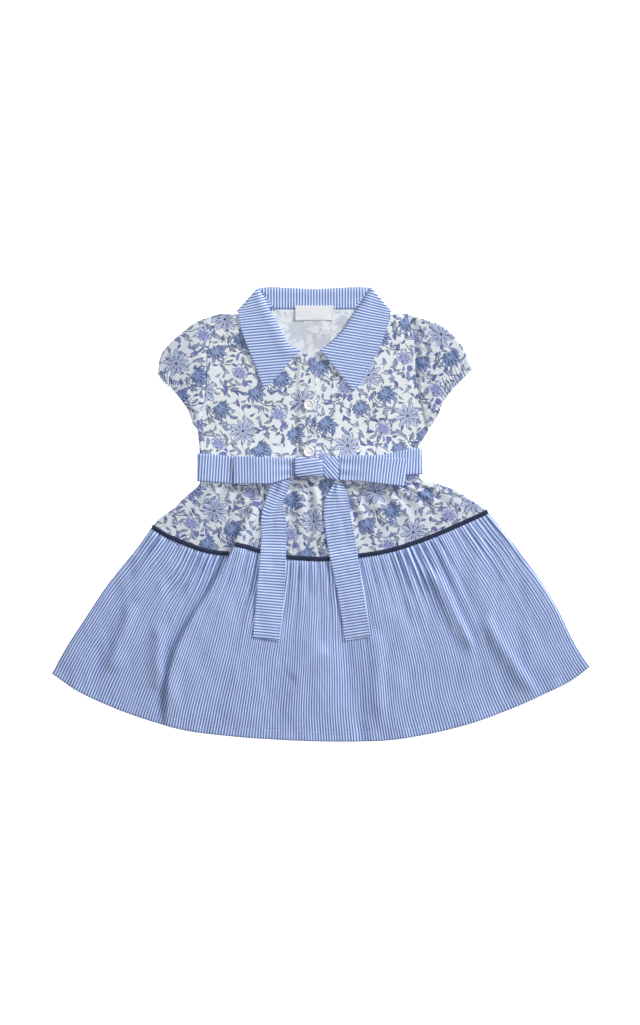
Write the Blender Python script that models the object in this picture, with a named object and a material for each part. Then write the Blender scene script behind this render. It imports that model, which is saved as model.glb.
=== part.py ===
# A small child's muslin dress, laid flat: striped collar, sash and skirt, flowered bodice and hip band.
# +Y points to the collar, +X to the right of the picture, +Z up from the surface the dress lies on.
# Tables and formulas are in millimetres; meshes are written in metres.

import math

import bpy
import numpy as np
from mathutils import Vector
from mathutils.bvhtree import BVHTree

# Driving dimensions, in millimetres
CLOTH = 1.2                 # thickness of one wall of cloth
GAP = 0.3                   # clear space kept between two pieces
LAYER = CLOTH + GAP         # height that one more layer of cloth takes
BOX_CENTRE = (0.1, -1.09)   # middle of the laid garment in the tables' own coordinates
WAIST_Y = 48.0              # seam between the bodice and the hip band, under the sash
GATHERS = 44                # small gathers let into the skirt seam on the front
GATHER_HEIGHT = 1.15        # how far a gather rises and sinks about its middle
HIP_GATHERS = 17            # softer gathers under the sash
PIPING_WIDTH = 4.6
BUTTON_RADIUS = 5.75
BUTTON_THICK = 2.2
BUTTON_HOLE_RADIUS = 0.75
BUTTON_HOLE_REACH = 1.45    # from the button's middle to the middle of a hole
# Turned outline of a button from its dished face to its underside: shares of radius and thickness
BUTTON_PROFILE = ((0.62, 0.66), (0.76, 1.0), (0.92, 1.0), (1.0, 0.6), (0.94, 0.18), (0.8, 0.0))
BUTTON_PLACES = (("button_upper", -12.6, 113.4), ("button_lower", -12.8, 64.6))
PLACKET_EDGE = -5.0         # free edge of the front that lies on top
UNDERLAP_EDGE = -19.0       # free edge of the front below it
COLLAR_EASING = 4           # passes that even out the direction of the collar's wall where it turns sharply
LABEL_BOX = (-26.9, 202.4, 13.3, 217.8)

# Colours and surface of each cloth: red, green, blue, roughness
FINISH = {
    "striped_cloth": (0.36, 0.46, 0.72, 0.88),
    "flowered_cloth": (0.55, 0.58, 0.66, 0.88),
    "navy_cloth": (0.012, 0.02, 0.06, 0.8),
    "label_cloth": (0.85, 0.85, 0.86, 0.75),
    "pearl_plastic": (0.84, 0.83, 0.78, 0.3),
}

# Sash edges across the waist: x, lower y, upper y
SASH_EDGE = [
    (-131.0, 33.2, 62.7), (-92.0, 30.6, 59.9), (-27.0, 31.0, 57.5), (2.0, 33.5, 56.6),
    (19.0, 36.0, 59.6), (66.0, 38.6, 61.2), (90.0, 39.8, 67.0), (109.0, 40.6, 68.3),
]
SASH_LEFT = -129.6          # middle of the cloth where the sash turns round the left side
SASH_TURN = 3.4             # how far inside that line the turn begins
KNOT_PINCH = (-7.5, 27.0, 6.0, 40.5)  # where the knot pulls the sash up: middle, reach, fading, height
SASH_RIGHT = (105.4, 106.9) # the same on the right, at its upper and lower edge

# Outlines, each from its upper to its lower end: x, y
ARMHOLE_LEFT = [(-105.8, 209.2), (-114.2, 186.9), (-119.2, 164.8), (-119.8, 139.7), (-123.6, 113.4),
                (-129.2, 84.5)]
ARMHOLE_RIGHT = [(90.0, 209.2), (96.3, 186.9), (98.4, 164.8), (99.6, 139.7), (104.6, 113.4), (108.4, 99.5),
                 (112.6, 87.4)]
SIDE_LEFT = [(-129.2, 84.5), (-127.9, 72.0), (-127.4, WAIST_Y)]
SIDE_RIGHT = [(112.6, 87.4), (108.6, 79.6), (103.4, 71.5), (102.0, 62.0), (102.8, WAIST_Y)]
HIP_LEFT = [(-127.4, WAIST_Y), (-127.8, 30.0), (-136.5, 22.1), (-146.0, 13.7), (-154.3, 5.2),
            (-168.0, -4.2),
            (-177.2, -14.4)]
HIP_RIGHT = [(102.8, WAIST_Y), (103.6, 37.5), (122.9, 30.5), (144.9, 22.1), (157.5, 13.7), (170.1, 5.2),
             (174.9, 1.4)]
SKIRT_LEFT = [(-177.2, -14.4), (-193.2, -36.8), (-220.5, -70.4), (-248.9, -112.4), (-267.8, -141.8),
              (-282.6, -168.4)]
SKIRT_RIGHT = [(174.9, 1.4), (192.2, -19.9), (212.1, -45.1), (245.7, -95.5), (266.7, -136.5),
               (282.8, -161.0)]
SEAM_LEFT = [(-177.2, -14.4), (-160.2, -24.4), (-143.4, -31.5), (-125.3, -38.2), (-107.2, -41.8),
             (-96.6, -42.6)]
SEAM_RIGHT = [(-90.3, -32.8), (-77.1, -35.7), (-63.2, -40.6), (-36.1, -46.2), (-16.8, -47.6), (8.4, -48.1),
              (37.5, -45.1), (71.3, -39.4), (107.4, -27.9), (143.6, -12.9), (174.9, 1.4)]
SEAM_BACK = [(-177.2, -14.4), (-143.4, -29.0), (-107.4, -38.6), (-63.2, -45.6), (0.0, -48.6), (37.5, -46.6),
             (71.3, -40.4), (107.4, -28.9), (143.6, -13.9), (174.9, 1.4)]
HEM = [(-282.6, -168.4), (-257.2, -185.8), (-219.5, -203.7), (-181.7, -217.4), (-143.8, -227.9),
       (-93.5, -234.4),
       (-43.1, -238.0), (19.9, -239.9), (70.4, -238.6), (108.2, -232.8), (158.6, -220.5), (196.3, -206.9),
       (234.2, -190.1), (263.6, -175.3), (282.8, -161.0)]
SLEEVE_TOP_LEFT = [(-106.6, 209.6), (-118.7, 205.3), (-131.2, 200.8), (-143.8, 191.3), (-156.5, 180.6),
                   (-164.6, 171.8), (-169.6, 161.0), (-171.4, 146.4)]
CUFF_LEFT = [(-171.4, 146.4), (-167.2, 139.7), (-157.5, 131.2), (-150.2, 122.9), (-143.8, 114.5),
             (-138.6, 105.6), (-134.4, 93.0)]
SLEEVE_TOP_RIGHT = [(90.8, 209.6), (108.2, 203.7), (123.9, 198.5), (135.5, 190.1), (143.8, 181.7),
                    (149.6, 173.2), (154.6, 162.0), (159.8, 151.4)]
CUFF_RIGHT = [(159.8, 151.4), (148.6, 140.4), (139.7, 131.2), (133.3, 122.9), (127.6, 114.5),
              (123.2, 103.5),
              (117.6, 93.4)]
NECK_FRONT_LEFT = [(-60.4, 211.6), (-59.0, 206.4), (-54.0, 193.9), (-47.2, 180.4), (-38.9, 171.2),
                   (-29.2, 167.7)]
NECK_FRONT_RIGHT = [(11.0, 167.4), (18.6, 171.2), (29.2, 181.6), (37.6, 193.9), (43.4, 206.0),
                    (45.9, 211.6)]

# Collar: where it is sewn on, where it rolls over and its outer edge (x, y each), then the heights of the
# sewn edge, of the fall beside the roll and of the outer edge, and how far the fall is tucked in beside the
# roll. The fronts run from the open end up to the shoulder, the back from left to right.
COLLAR_LEFT = [
    (-22.6, 168.4, -20.4, 171.8, -59.6, 128.9, 3.6, 5.3, 3.7, 0.0),
    (-29.2, 168.9, -27.0, 172.6, -62.6, 135.2, 3.6, 5.3, 3.7, 0.0),
    (-38.1, 172.1, -33.6, 177.0, -65.7, 145.0, 3.6, 5.3, 3.8, 0.0),
    (-46.3, 181.0, -39.3, 186.6, -70.2, 156.5, 3.6, 5.3, 4.1, 0.0),
    (-53.0, 194.4, -45.8, 198.0, -75.5, 169.5, 3.6, 5.3, 4.8, 0.0),
    (-56.6, 204.0, -52.0, 209.6, -81.2, 183.6, 3.6, 5.3, 5.2, 0.0),
    (-57.6, 211.6, -56.6, 217.6, -84.9, 195.0, 3.2, 5.3, 5.2, 0.0),
    (-52.4, 215.4, -60.6, 225.6, -87.0, 203.5, 2.1, 5.3, 5.2, 0.0),
]
COLLAR_RIGHT = [
    (1.0, 168.0, -1.2, 171.6, 34.2, 127.4, 3.6, 5.3, 3.7, 0.0),
    (8.2, 168.6, 5.4, 174.8, 39.0, 132.0, 3.6, 5.3, 3.7, 0.0),
    (17.8, 171.9, 14.0, 182.0, 44.2, 140.2, 3.6, 5.3, 3.8, 0.0),
    (28.2, 182.2, 22.6, 191.6, 50.6, 152.0, 3.6, 5.3, 4.1, 0.0),
    (36.6, 194.4, 29.6, 201.8, 58.5, 166.7, 3.6, 5.3, 4.8, 0.0),
    (41.6, 204.0, 36.6, 212.0, 66.2, 184.6, 3.6, 5.3, 5.2, 0.0),
    (43.6, 211.9, 42.0, 218.6, 70.2, 196.0, 3.3, 5.3, 5.2, 0.0),
    (38.4, 215.4, 46.4, 227.2, 72.8, 203.5, 2.1, 5.3, 5.2, 0.0),
]
COLLAR_BACK = [
    (-40.0, 214.8, -54.0, 237.2, -72.0, 200.6, 2.1, 0.6, 0.6, 0.0),
    (-28.0, 214.5, -36.0, 236.6, -43.0, 196.8, 2.1, 0.6, 0.6, 0.0),
    (-7.4, 214.2, -7.4, 235.4, -7.4, 195.4, 2.1, 0.6, 0.6, 0.0),
    (15.0, 214.5, 22.0, 236.6, 28.0, 196.8, 2.1, 0.6, 0.6, 0.0),
    (27.0, 214.8, 40.0, 237.2, 58.0, 200.6, 2.1, 0.6, 0.6, 0.0),
]
# Where the collar bends round each shoulder, seen from above: the same three points
COLLAR_BEND_LEFT = ((-45.0, 214.9), (-65.6, 236.6), (-88.2, 211.8))
COLLAR_BEND_RIGHT = ((31.0, 214.9), (52.4, 236.6), (74.3, 211.8))

# Bow tails: left edge x, y, right edge x, y, from the knot down to the cut end
TAIL_LEFT = [
    (-52.4, 29.4, -28.6, 36.2), (-59.2, 10.2, -34.2, 24.6), (-62.2, -0.6, -39.0, 12.6),
    (-62.6, -26.0, -37.2, -4.0),
    (-65.0, -56.0, -36.8, -46.0), (-67.2, -80.0, -38.4, -80.6), (-71.4, -130.3, -43.6, -134.2),
]
TAIL_RIGHT = [
    (13.2, 30.2, 22.0, 32.8), (5.9, 18.3, 25.7, 23.4), (3.4, 7.2, 28.8, 8.0), (4.3, -14.9, 34.6, -20.4),
    (8.8, -43.5, 39.0, -48.0), (17.3, -83.5, 43.9, -80.4), (25.2, -134.2, 52.2, -129.2),
]

# Folds of the front: points along the crest, its height, and how wide it falls off on each side
FOLDS = [
    {"crest": [(-62.0, 26.0), (-77.0, -4.0), (-92.0, -37.0), (-110.0, -72.0), (-128.0, -102.0),
               (-146.0, -132.0),
               (-157.0, -164.0), (-160.5, -200.0), (-161.0, -226.0)], "height": 2.9, "left": 3.6,
               "right": 13.0},
    {"crest": [(-196.0, -91.0), (-209.0, -128.0), (-223.0, -168.0)], "height": 1.6, "left": 6.0,
     "right": 9.0},
    {"crest": [(-172.0, -112.0), (-171.0, -150.0), (-172.0, -188.0)], "height": 1.2, "left": 6.0,
     "right": 8.0},
    {"crest": [(106.0, -52.0), (124.0, -74.0), (136.0, -98.0), (160.0, -144.0)], "height": 2.0, "left": 9.0,
     "right": 5.0},
    {"crest": [(170.0, -102.0), (182.0, -128.0), (198.0, -152.0), (224.0, -190.0)], "height": 1.8,
     "left": 8.0,
     "right": 6.0},
    {"crest": [(10.0, -140.0), (-12.0, -156.0), (-32.0, -174.0)], "height": 1.3, "left": 9.0, "right": 9.0},
    {"crest": [(58.0, -120.0), (60.0, -160.0), (62.0, -214.0)], "height": 1.3, "left": 10.0, "right": 7.0},
]
MOST_LIFT = 3.4             # the cloth never stands further than this off the layer below

built = {}


def smooth_step(value):
    """Soft ramp from 0 to 1."""
    t = np.clip(value, 0.0, 1.0)
    return t * t * (3.0 - 2.0 * t)


def along(rows, count=None, places=None, columns=2):
    """Points on a smooth curve through a table's rows; places are shares of its length.

    The first columns set the curve's length; any others never rise or sink past the rows beside them."""
    rows = np.array(rows, float)
    steps = np.linalg.norm(np.diff(rows[:, :columns], axis=0), axis=1)
    marks = np.concatenate([[0.0], np.cumsum(steps)])
    marks = marks / marks[-1]
    slopes = np.diff(rows, axis=0) / np.diff(marks)[:, None]
    tangents = np.empty_like(rows)
    tangents[0], tangents[-1] = slopes[0], slopes[-1]
    widths = np.diff(marks)[:, None]
    tangents[1:-1] = (slopes[:-1] * widths[1:] + slopes[1:] * widths[:-1]) / (widths[1:] + widths[:-1])
    before, after = slopes[:-1, columns:], slopes[1:, columns:]
    same_way = before * after > 0
    level = np.where(same_way, 2 * before * after / np.where(same_way, before + after, 1.0), 0.0)
    tangents[1:-1, columns:] = level
    spots = np.linspace(0.0, 1.0, count) if places is None else np.asarray(places, float)
    index = np.clip(np.searchsorted(marks, spots, side="right") - 1, 0, len(rows) - 2)
    span = marks[index + 1] - marks[index]
    t = ((spots - marks[index]) / span)[:, None]
    span = span[:, None]
    start, end = rows[index], rows[index + 1]
    return ((2 * t**3 - 3 * t**2 + 1) * start + (t**3 - 2 * t**2 + t) * span * tangents[index]
            + (3 * t**2 - 2 * t**3) * end + (t**3 - t**2) * span * tangents[index + 1])


def patch(upper, lower, left, right):
    """Grid between four edges: rows run from the upper edge down, columns from left to right."""
    rows, columns = len(left), len(upper)
    u = np.linspace(0.0, 1.0, columns)[None, :, None]
    v = np.linspace(0.0, 1.0, rows)[:, None, None]
    upper, lower = np.array(upper)[None], np.array(lower)[None]
    left, right = np.array(left)[:, None], np.array(right)[:, None]
    corners = ((1 - u) * (1 - v) * upper[:, :1] + u * (1 - v) * upper[:, -1:]
               + (1 - u) * v * lower[:, :1] + u * v * lower[:, -1:])
    return (1 - v) * upper + v * lower + (1 - u) * left + u * right - corners


def sash_edges(x):
    """Lower and upper edge of the sash at x."""
    table = np.array(SASH_EDGE)
    return np.interp(x, table[:, 0], table[:, 1]), np.interp(x, table[:, 0], table[:, 2])


def raised(x, y, grow=0.0):
    """Share of one layer by which the panels rise over the sash and the collar's fall."""
    low, high = sash_edges(x)
    ramp = 4.0
    sash = smooth_step((ramp + 0.6 + grow - np.maximum(low - y, y - high)) / ramp)
    fall_y = smooth_step((y - 188.5 + grow) / 5.0)
    fall_x = smooth_step((x + 94.5 + grow) / 5.2) * smooth_step((80.7 + grow - x) / 5.2)
    return np.maximum(sash, fall_y * fall_x)


def fold_lift(x, y):
    """Height of the large folds of the front at each point."""
    total = np.zeros_like(x)
    for fold in FOLDS:
        crest = along(fold["crest"], 24)
        starts, ends = crest[:-1], crest[1:]
        run = ends - starts
        size = (run ** 2).sum(1)
        dx = x[..., None] - starts[:, 0]
        dy = y[..., None] - starts[:, 1]
        t = np.clip((dx * run[:, 0] + dy * run[:, 1]) / size, 0.0, 1.0)
        off_x, off_y = dx - t * run[:, 0], dy - t * run[:, 1]
        away = np.hypot(off_x, off_y)
        nearest = away.argmin(-1)
        pick = lambda values: np.take_along_axis(values, nearest[..., None], -1)[..., 0]
        side = pick(off_x)
        share = (nearest + pick(t)) / len(starts)
        width = np.where(side < 0, fold["left"], fold["right"])
        fade = smooth_step(share / 0.2) * smooth_step((1.06 - share) / 0.22)
        total += fold["height"] * fade * np.exp(-(pick(away) / width) ** 2)
    return np.minimum(total, MOST_LIFT)


def wall(height, grid):
    """Upright measure of one wall of cloth where its surface slopes."""
    def slope(axis):
        rise = np.gradient(height, axis=axis)
        run = np.linalg.norm(np.gradient(grid, axis=axis), axis=-1)
        return rise / np.maximum(run, 0.05)
    return CLOTH * np.minimum(np.sqrt(1.0 + slope(0) ** 2 + slope(1) ** 2), 1.9)


def add_solid(name, points, faces, finish):
    """Named mesh object with its own material, from points in millimetres."""
    points = np.asarray(points, float)
    built[name] = BVHTree.FromPolygons([tuple(p) for p in points], [tuple(f) for f in faces])
    shift = np.array([BOX_CENTRE[0], BOX_CENTRE[1], 0.0])
    mesh = bpy.data.meshes.new(name)
    mesh.from_pydata([tuple(p) for p in (points - shift) / 1000.0], [],
                     [tuple(int(i) for i in f) for f in faces])
    mesh.update()
    red, green, blue, roughness = FINISH[finish]
    material = bpy.data.materials.new(name + "_" + finish)
    material.use_nodes = True
    shader = material.node_tree.nodes["Principled BSDF"]
    shader.inputs["Base Color"].default_value = (red, green, blue, 1.0)
    shader.inputs["Roughness"].default_value = roughness
    shader.inputs["Metallic"].default_value = 0.0
    mesh.materials.append(material)
    thing = bpy.data.objects.new(name, mesh)
    bpy.context.scene.collection.objects.link(thing)
    mesh.shade_smooth()
    mesh.set_sharp_from_angle(angle=math.radians(40))
    return thing


def slab(name, upper, lower, finish):
    """Closed wall between two grids of points, the upper one facing up; rows run down."""
    rows, columns = upper.shape[:2]
    points = np.concatenate([upper.reshape(-1, 3), lower.reshape(-1, 3)])
    top = lambda r, c: r * columns + c
    low = lambda r, c: rows * columns + r * columns + c
    faces = []
    for r in range(rows - 1):
        for c in range(columns - 1):
            faces.append((top(r, c), top(r + 1, c), top(r + 1, c + 1), top(r, c + 1)))
            faces.append((low(r, c), low(r, c + 1), low(r + 1, c + 1), low(r + 1, c)))
    for r in range(rows - 1):
        faces.append((top(r, 0), low(r, 0), low(r + 1, 0), top(r + 1, 0)))
        faces.append((top(r + 1, columns - 1), low(r + 1, columns - 1), low(r, columns - 1),
                      top(r, columns - 1)))
    for c in range(columns - 1):
        faces.append((top(0, c + 1), low(0, c + 1), low(0, c), top(0, c)))
        faces.append((top(rows - 1, c), low(rows - 1, c), low(rows - 1, c + 1), top(rows - 1, c + 1)))
    return add_solid(name, points, faces, finish)


def panel(name, grid, height, finish):
    """Panel of cloth whose underside follows a grid of heights."""
    thick = wall(height, grid)
    lower = np.dstack([grid, height])
    upper = np.dstack([grid, height + thick])
    return slab(name, upper, lower, finish)


def tube(name, outer, inner, finish):
    """Open-ended tube from rings of outer and inner points; each ring runs once round."""
    rings, count = outer.shape[:2]
    points = np.concatenate([outer.reshape(-1, 3), inner.reshape(-1, 3)])
    out = lambda r, c: r * count + c % count
    inn = lambda r, c: rings * count + r * count + c % count
    faces = []
    for c in range(count):
        for r in range(rings - 1):
            faces.append((out(r, c), out(r, c + 1), out(r + 1, c + 1), out(r + 1, c)))
            faces.append((inn(r, c), inn(r + 1, c), inn(r + 1, c + 1), inn(r, c + 1)))
        faces.append((out(0, c), inn(0, c), inn(0, c + 1), out(0, c + 1)))
        last = rings - 1
        faces.append((out(last, c), out(last, c + 1), inn(last, c + 1), inn(last, c)))
    return add_solid(name, points, faces, finish)


def top_of(names, x, y, reach=0.0):
    """Highest point of the named pieces at (x, y), or within reach of it."""
    best = 0.0
    steps = np.linspace(-reach, reach, 5) if reach else (0.0,)
    for name in names:
        for dx in steps:
            for dy in steps:
                hit = built[name].ray_cast(Vector((x + dx, y + dy, 60.0)), Vector((0.0, 0.0, -1.0)))[0]
                if hit is not None:
                    best = max(best, hit.z)
    return best


def bodice_rows(edge_left, edge_right, levels, columns):
    """Grid whose rows lie at given heights and whose columns reach from side to side."""
    left = along(edge_left, 60)
    right = along(edge_right, 60)
    grid = []
    for level in levels:
        row_y = level(np.array(columns)) if callable(level) else np.full(len(columns), level)
        x = np.array(columns, float)
        x[0] = np.interp(-row_y[0], -left[:, 1], left[:, 0])
        x[-1] = np.interp(-row_y[-1], -right[:, 1], right[:, 0])
        grid.append(np.column_stack([x, row_y]))
    return np.array(grid)


def bodice_back():
    """Back of the bodice: flat on the surface, raised over the sash and over the collar's fall."""
    columns = [-128.0, -94.5, -89.3, -70.0, -50.0, -30.0, -10.0, 12.0, 34.0, 50.0, 66.0, 75.5, 80.7, 104.0]
    top_edge = lambda x: np.interp(x,
                        [-105.8, -88.0, -60.4, -54.0, -46.0, -7.4, 32.0, 40.0, 45.9, 74.0, 90.0],
                                   [209.2, 208.4, 210.2, 210.4, 213.6, 213.2, 213.6, 210.4, 210.2, 208.4,
                        209.2])
    levels = [top_edge, 204.0, 193.5, 188.5, 165.0, 140.0, 113.0, 86.0, lambda x: sash_edges(x)[1] + 4.6,
              lambda x: sash_edges(x)[1] + 0.6, WAIST_Y + GAP / 2]
    grid = bodice_rows(ARMHOLE_LEFT + SIDE_LEFT[1:], ARMHOLE_RIGHT + SIDE_RIGHT[1:], levels, columns)
    panel("bodice_back", grid, LAYER * raised(grid[..., 0], grid[..., 1]), "flowered_cloth")


def bodice_front(name, side, neck, on_top):
    """One front: shoulder and neck edge above, side and armhole at one hand, free edge at the other."""
    shoulder = neck[0] if on_top else neck[-1]
    tip = side[0]
    under_collar = (-88.0, 208.4) if on_top else (74.0, 208.4)
    shoulder_line = [tip, under_collar, shoulder]
    neck_line = neck if on_top else neck[::-1]
    count_shoulder, count_neck = 5, 7
    edge = [tuple(p) for p in along(shoulder_line, count_shoulder)]
    edge += [tuple(p) for p in along(neck_line, count_neck)][1:]
    edge_x = [-21.0, -13.0, PLACKET_EDGE] if on_top else [2.0, -8.0, UNDERLAP_EDGE]
    edge += [(x, 166.8 if on_top else 166.2) for x in edge_x]
    outer = len(edge) - 3
    waist_x = list(np.linspace(side[-1][0], -27.5 if on_top else 11.0, outer)) + edge_x
    lines = []
    for extra in (6.6, 2.6):
        lines.append([(x, sash_edges(x)[1] + extra) for x in waist_x])
    lines.append([(x, WAIST_Y + GAP / 2) for x in waist_x])
    seam_side = along(side, 80)
    for line in lines:
        line[0] = (float(np.interp(-line[0][1], -seam_side[:, 1], seam_side[:, 0])), line[0][1])
    stop = lines[0][0][1]
    outside = seam_side[seam_side[:, 1] >= stop]
    outside = along(np.vstack([outside, [lines[0][0]]]), 13)
    inside = along([edge[-1], lines[0][-1]], 13)
    grid = patch(edge, lines[0], outside, inside)
    grid = np.concatenate([grid, np.array(lines[1:])])
    x, y = grid[..., 0], grid[..., 1]
    height = LAYER + LAYER * raised(x, y, grow=16.0)
    height[-3:] = LAYER + LAYER * np.array([0.0, 1.0, 1.0])[:, None]
    if on_top:
        height = height + LAYER * smooth_step((x + 27.5) / 6.3)
    if not on_top:
        grid, height = grid[:, ::-1], height[:, ::-1]
    panel(name, grid, height, "flowered_cloth")


def sleeve(name, armhole, top_edge, cuff, turn):
    """Short puffed sleeve lying flat: a flattened tube, gathered at its head and at its cuff."""
    across, along_count, under = 33, 6, 9
    away = 1.0 * turn
    head = along([(x + away, y) for x, y in armhole], across)
    wrist = along(cuff, across)
    upper = along(top_edge, along_count)
    upper[0], upper[-1] = head[0], wrist[0]
    lower = along([head[-1], wrist[-1]], along_count)
    field = patch(head, wrist, upper, lower)
    share = np.linspace(0.0, 1.0, across)
    reach = np.linspace(0.0, 1.0, along_count)
    inset = 0.02

    def place(r, shares):
        return np.column_stack([np.interp(shares, share, field[r, :, k]) for k in (0, 1)])

    outer, inner = [], []
    for r in range(along_count):
        low, high = inset / 2, 1.0 - inset / 2
        body = math.sin(math.pi * min(max(reach[r], 0.02), 0.98)) ** 0.7
        for ring, cut, lift in ((outer, 0.0, CLOTH), (inner, inset, 0.0)):
            front = np.linspace(low + cut, high - cut, across)
            back = np.linspace(high - cut, low + cut, under)
            ripple = np.cos(front * 2 * math.pi * 8.0) * (0.55 * (1 - reach[r]) ** 2 + 0.55 * reach[r] ** 2)
            puff = 0.9 + 1.5 * body * np.sin(math.pi * front) ** 0.6 + ripple * np.sin(math.pi * front)
            front_z = LAYER + puff + lift
            back_z = np.full(under, CLOTH if ring is inner else 0.0)
            middle = (float(front_z[-1]) + float(back_z[0])) / 2
            other = (float(front_z[0]) + float(back_z[-1])) / 2
            edge_end = place(r, [1.0 - cut])
            edge_start = place(r, [cut])
            xy = np.vstack([place(r, front), edge_end, place(r, back), edge_start])
            z = np.concatenate([front_z, [middle], back_z, [other]])
            ring.append(np.column_stack([xy, z]))
    outer, inner = np.array(outer), np.array(inner)
    if turn > 0:
        outer, inner = outer[:, ::-1], inner[:, ::-1]
    tube(name, outer[::-1], inner[::-1], "flowered_cloth")


def collar_bend(bend, inward):
    """Rows of the collar where its fall bends from the front round to the back over one shoulder."""
    sewn, fold, edge = (np.array(p) for p in bend)
    rows = []
    for angle in np.radians([0, 45, 90, 135, 180]):
        pull = 1.0 - math.sin(angle)
        sewn_at = sewn - np.array([inward, 0.0]) * 2.5 * math.cos(angle)
        fold_at = fold - np.array([inward, 0.0]) * 0.5 * math.cos(angle)
        edge_at = edge + np.array([inward * 0.73, -0.69]) * 2.3 * pull
        heights = (2.1, 2.95 + 2.35 * math.cos(angle), 2.9 + 2.3 * math.cos(angle))
        rows.append((*sewn_at, *fold_at, *edge_at, *heights, 1.6 * inward * pull))
    return rows


def collar_line(row):
    """Middle line of the collar's cloth across one row: sewn edge, stand, roll, fall, outer edge."""
    sewn, fold, edge = np.array(row[:2]), np.array(row[2:4]), np.array(row[4:6])
    sewn_z, fall_z, edge_z, tuck = row[6:]
    roll = 2.0
    outward = (edge - fold) / np.linalg.norm(edge - fold)
    before = fold + (sewn - fold) / np.linalg.norm(sewn - fold) * roll
    after = fold + outward * roll + np.array([-outward[1], outward[0]]) * tuck
    line = [(*sewn, sewn_z), (*(sewn + before) / 2, sewn_z), (*before, sewn_z)]
    line.append((*fold, (sewn_z + fall_z) / 2))
    for share in (0.0, 0.33, 0.66, 1.0):
        line.append((*(after + (edge - after) * share), fall_z + (edge_z - fall_z) * share))
    return line


def collar():
    """Collar in one sheet, from one front end round the neck to the other."""
    bend_left = collar_bend(COLLAR_BEND_LEFT, 1.0)
    bend_right = collar_bend(COLLAR_BEND_RIGHT, -1.0)[::-1]
    front_left = along(COLLAR_LEFT + bend_left[:1], 18, columns=6)
    back = along(bend_left[-1:] + COLLAR_BACK + bend_right[:1], 13, columns=6)
    front_right = along(bend_right[-1:] + COLLAR_RIGHT[::-1], 18, columns=6)
    table = [*front_left, *bend_left[1:-1], *back, *bend_right[1:-1], *front_right]
    middle = np.array([collar_line(row) for row in table])
    normal = np.cross(np.gradient(middle, axis=0), np.gradient(middle, axis=1))
    normal /= np.linalg.norm(normal, axis=-1)[..., None]
    for _ in range(COLLAR_EASING):
        normal[1:-1] = (normal[:-2] + 2 * normal[1:-1] + normal[2:]) / 4
        normal /= np.linalg.norm(normal, axis=-1)[..., None]
    slab("collar", middle + normal * CLOTH / 2, middle - normal * CLOTH / 2, "striped_cloth")


def hip_grid(columns, rows, back=False):
    """Grid of the hip band: three rows under the sash, then down to the skirt seam."""
    xs = np.linspace(HIP_LEFT[0][0], HIP_RIGHT[0][0], columns)
    lines = [[(x, WAIST_Y - GAP / 2) for x in xs]]
    for extra in (0.6, 4.6):
        lines.append([(x, sash_edges(x)[0] - extra) for x in xs])
    left = along(HIP_LEFT, 60)
    right = along(HIP_RIGHT, 60)
    for line in lines[1:]:
        line[0] = (float(np.interp(-line[0][1], -left[:, 1], left[:, 0])), line[0][1])
        line[-1] = (float(np.interp(-line[-1][1], -right[:, 1], right[:, 0])), line[-1][1])
    start_left, start_right = lines[-1][0], lines[-1][-1]
    side_left = along(np.vstack([[start_left], left[left[:, 1] < start_left[1] - 1]]), rows)
    side_right = along(np.vstack([[start_right], right[right[:, 1] < start_right[1] - 1]]), rows)
    lower = back_seam(columns, PIPING_WIDTH / 2 + GAP) if back else seam_line(columns, 0.4)
    side_left[-1], side_right[-1] = lower[0], lower[-1]
    return np.concatenate([np.array(lines[:-1]), patch(lines[-1], lower, side_left, side_right)])


def seam_line(columns, lift):
    """Skirt seam with its step where the large fold crosses it, moved up or down by lift."""
    whole = np.vstack([along(SEAM_LEFT, 30), along(SEAM_RIGHT, 90)])
    steps = np.concatenate([[0.0], np.cumsum(np.abs(np.diff(whole[:, 0])))])
    spots = np.linspace(0.0, steps[-1], columns)
    for corner in (steps[29], steps[30]):
        spots[np.abs(spots - corner).argmin()] = corner
    line = np.column_stack([np.interp(spots, steps, whole[:, k]) for k in (0, 1)])
    line[:, 1] += lift
    return line


def back_seam(columns, lift):
    """Skirt seam of the back, moved up or down by lift."""
    return along(SEAM_BACK, columns) + np.array([0.0, lift])


def hip_panels():
    """Hip band, back and front; the front is softly gathered into the waist."""
    grid = hip_grid(19, 5, back=True)
    panel("hip_back", grid, LAYER * raised(grid[..., 0], grid[..., 1]), "flowered_cloth")
    grid = hip_grid(HIP_GATHERS * 3 + 1, 6)
    x, y = grid[..., 0], grid[..., 1]
    height = LAYER + fold_lift(x, y)
    wave = np.linspace(0.0, HIP_GATHERS * 2 * math.pi, grid.shape[1])[None, :]
    depth = np.linspace(0.0, 1.0, grid.shape[0])[:, None]
    gathers = 0.75 * (1.0 - np.cos(wave + 0.8 * np.sin(wave / 5.0)))
    height = height + gathers * np.sin(math.pi * depth ** 0.7) ** 2
    height = np.maximum(height, LAYER + LAYER * raised(x, y, grow=2.0))
    panel("hip_front", grid, height, "flowered_cloth")


def skirt_grid(columns, shares, back=False):
    """Grid of the skirt from its seam to the hem."""
    upper = back_seam(columns, -PIPING_WIDTH / 2 - GAP) if back else seam_line(columns, -0.4)
    lower = along(HEM, columns)
    left = along(SKIRT_LEFT, places=shares)
    right = along(SKIRT_RIGHT, places=shares)
    left[0], right[0] = upper[0], upper[-1]
    left[-1], right[-1] = lower[0], lower[-1]
    v = np.array(shares)[:, None, None]
    u = np.linspace(0.0, 1.0, columns)[None, :, None]
    corners = (1 - v) * ((1 - u) * upper[0] + u * upper[-1]) + v * ((1 - u) * lower[0] + u * lower[-1])
    return (1 - v) * upper[None] + v * lower[None] + (1 - u) * left[:, None] + u * right[:, None] - corners


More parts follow.
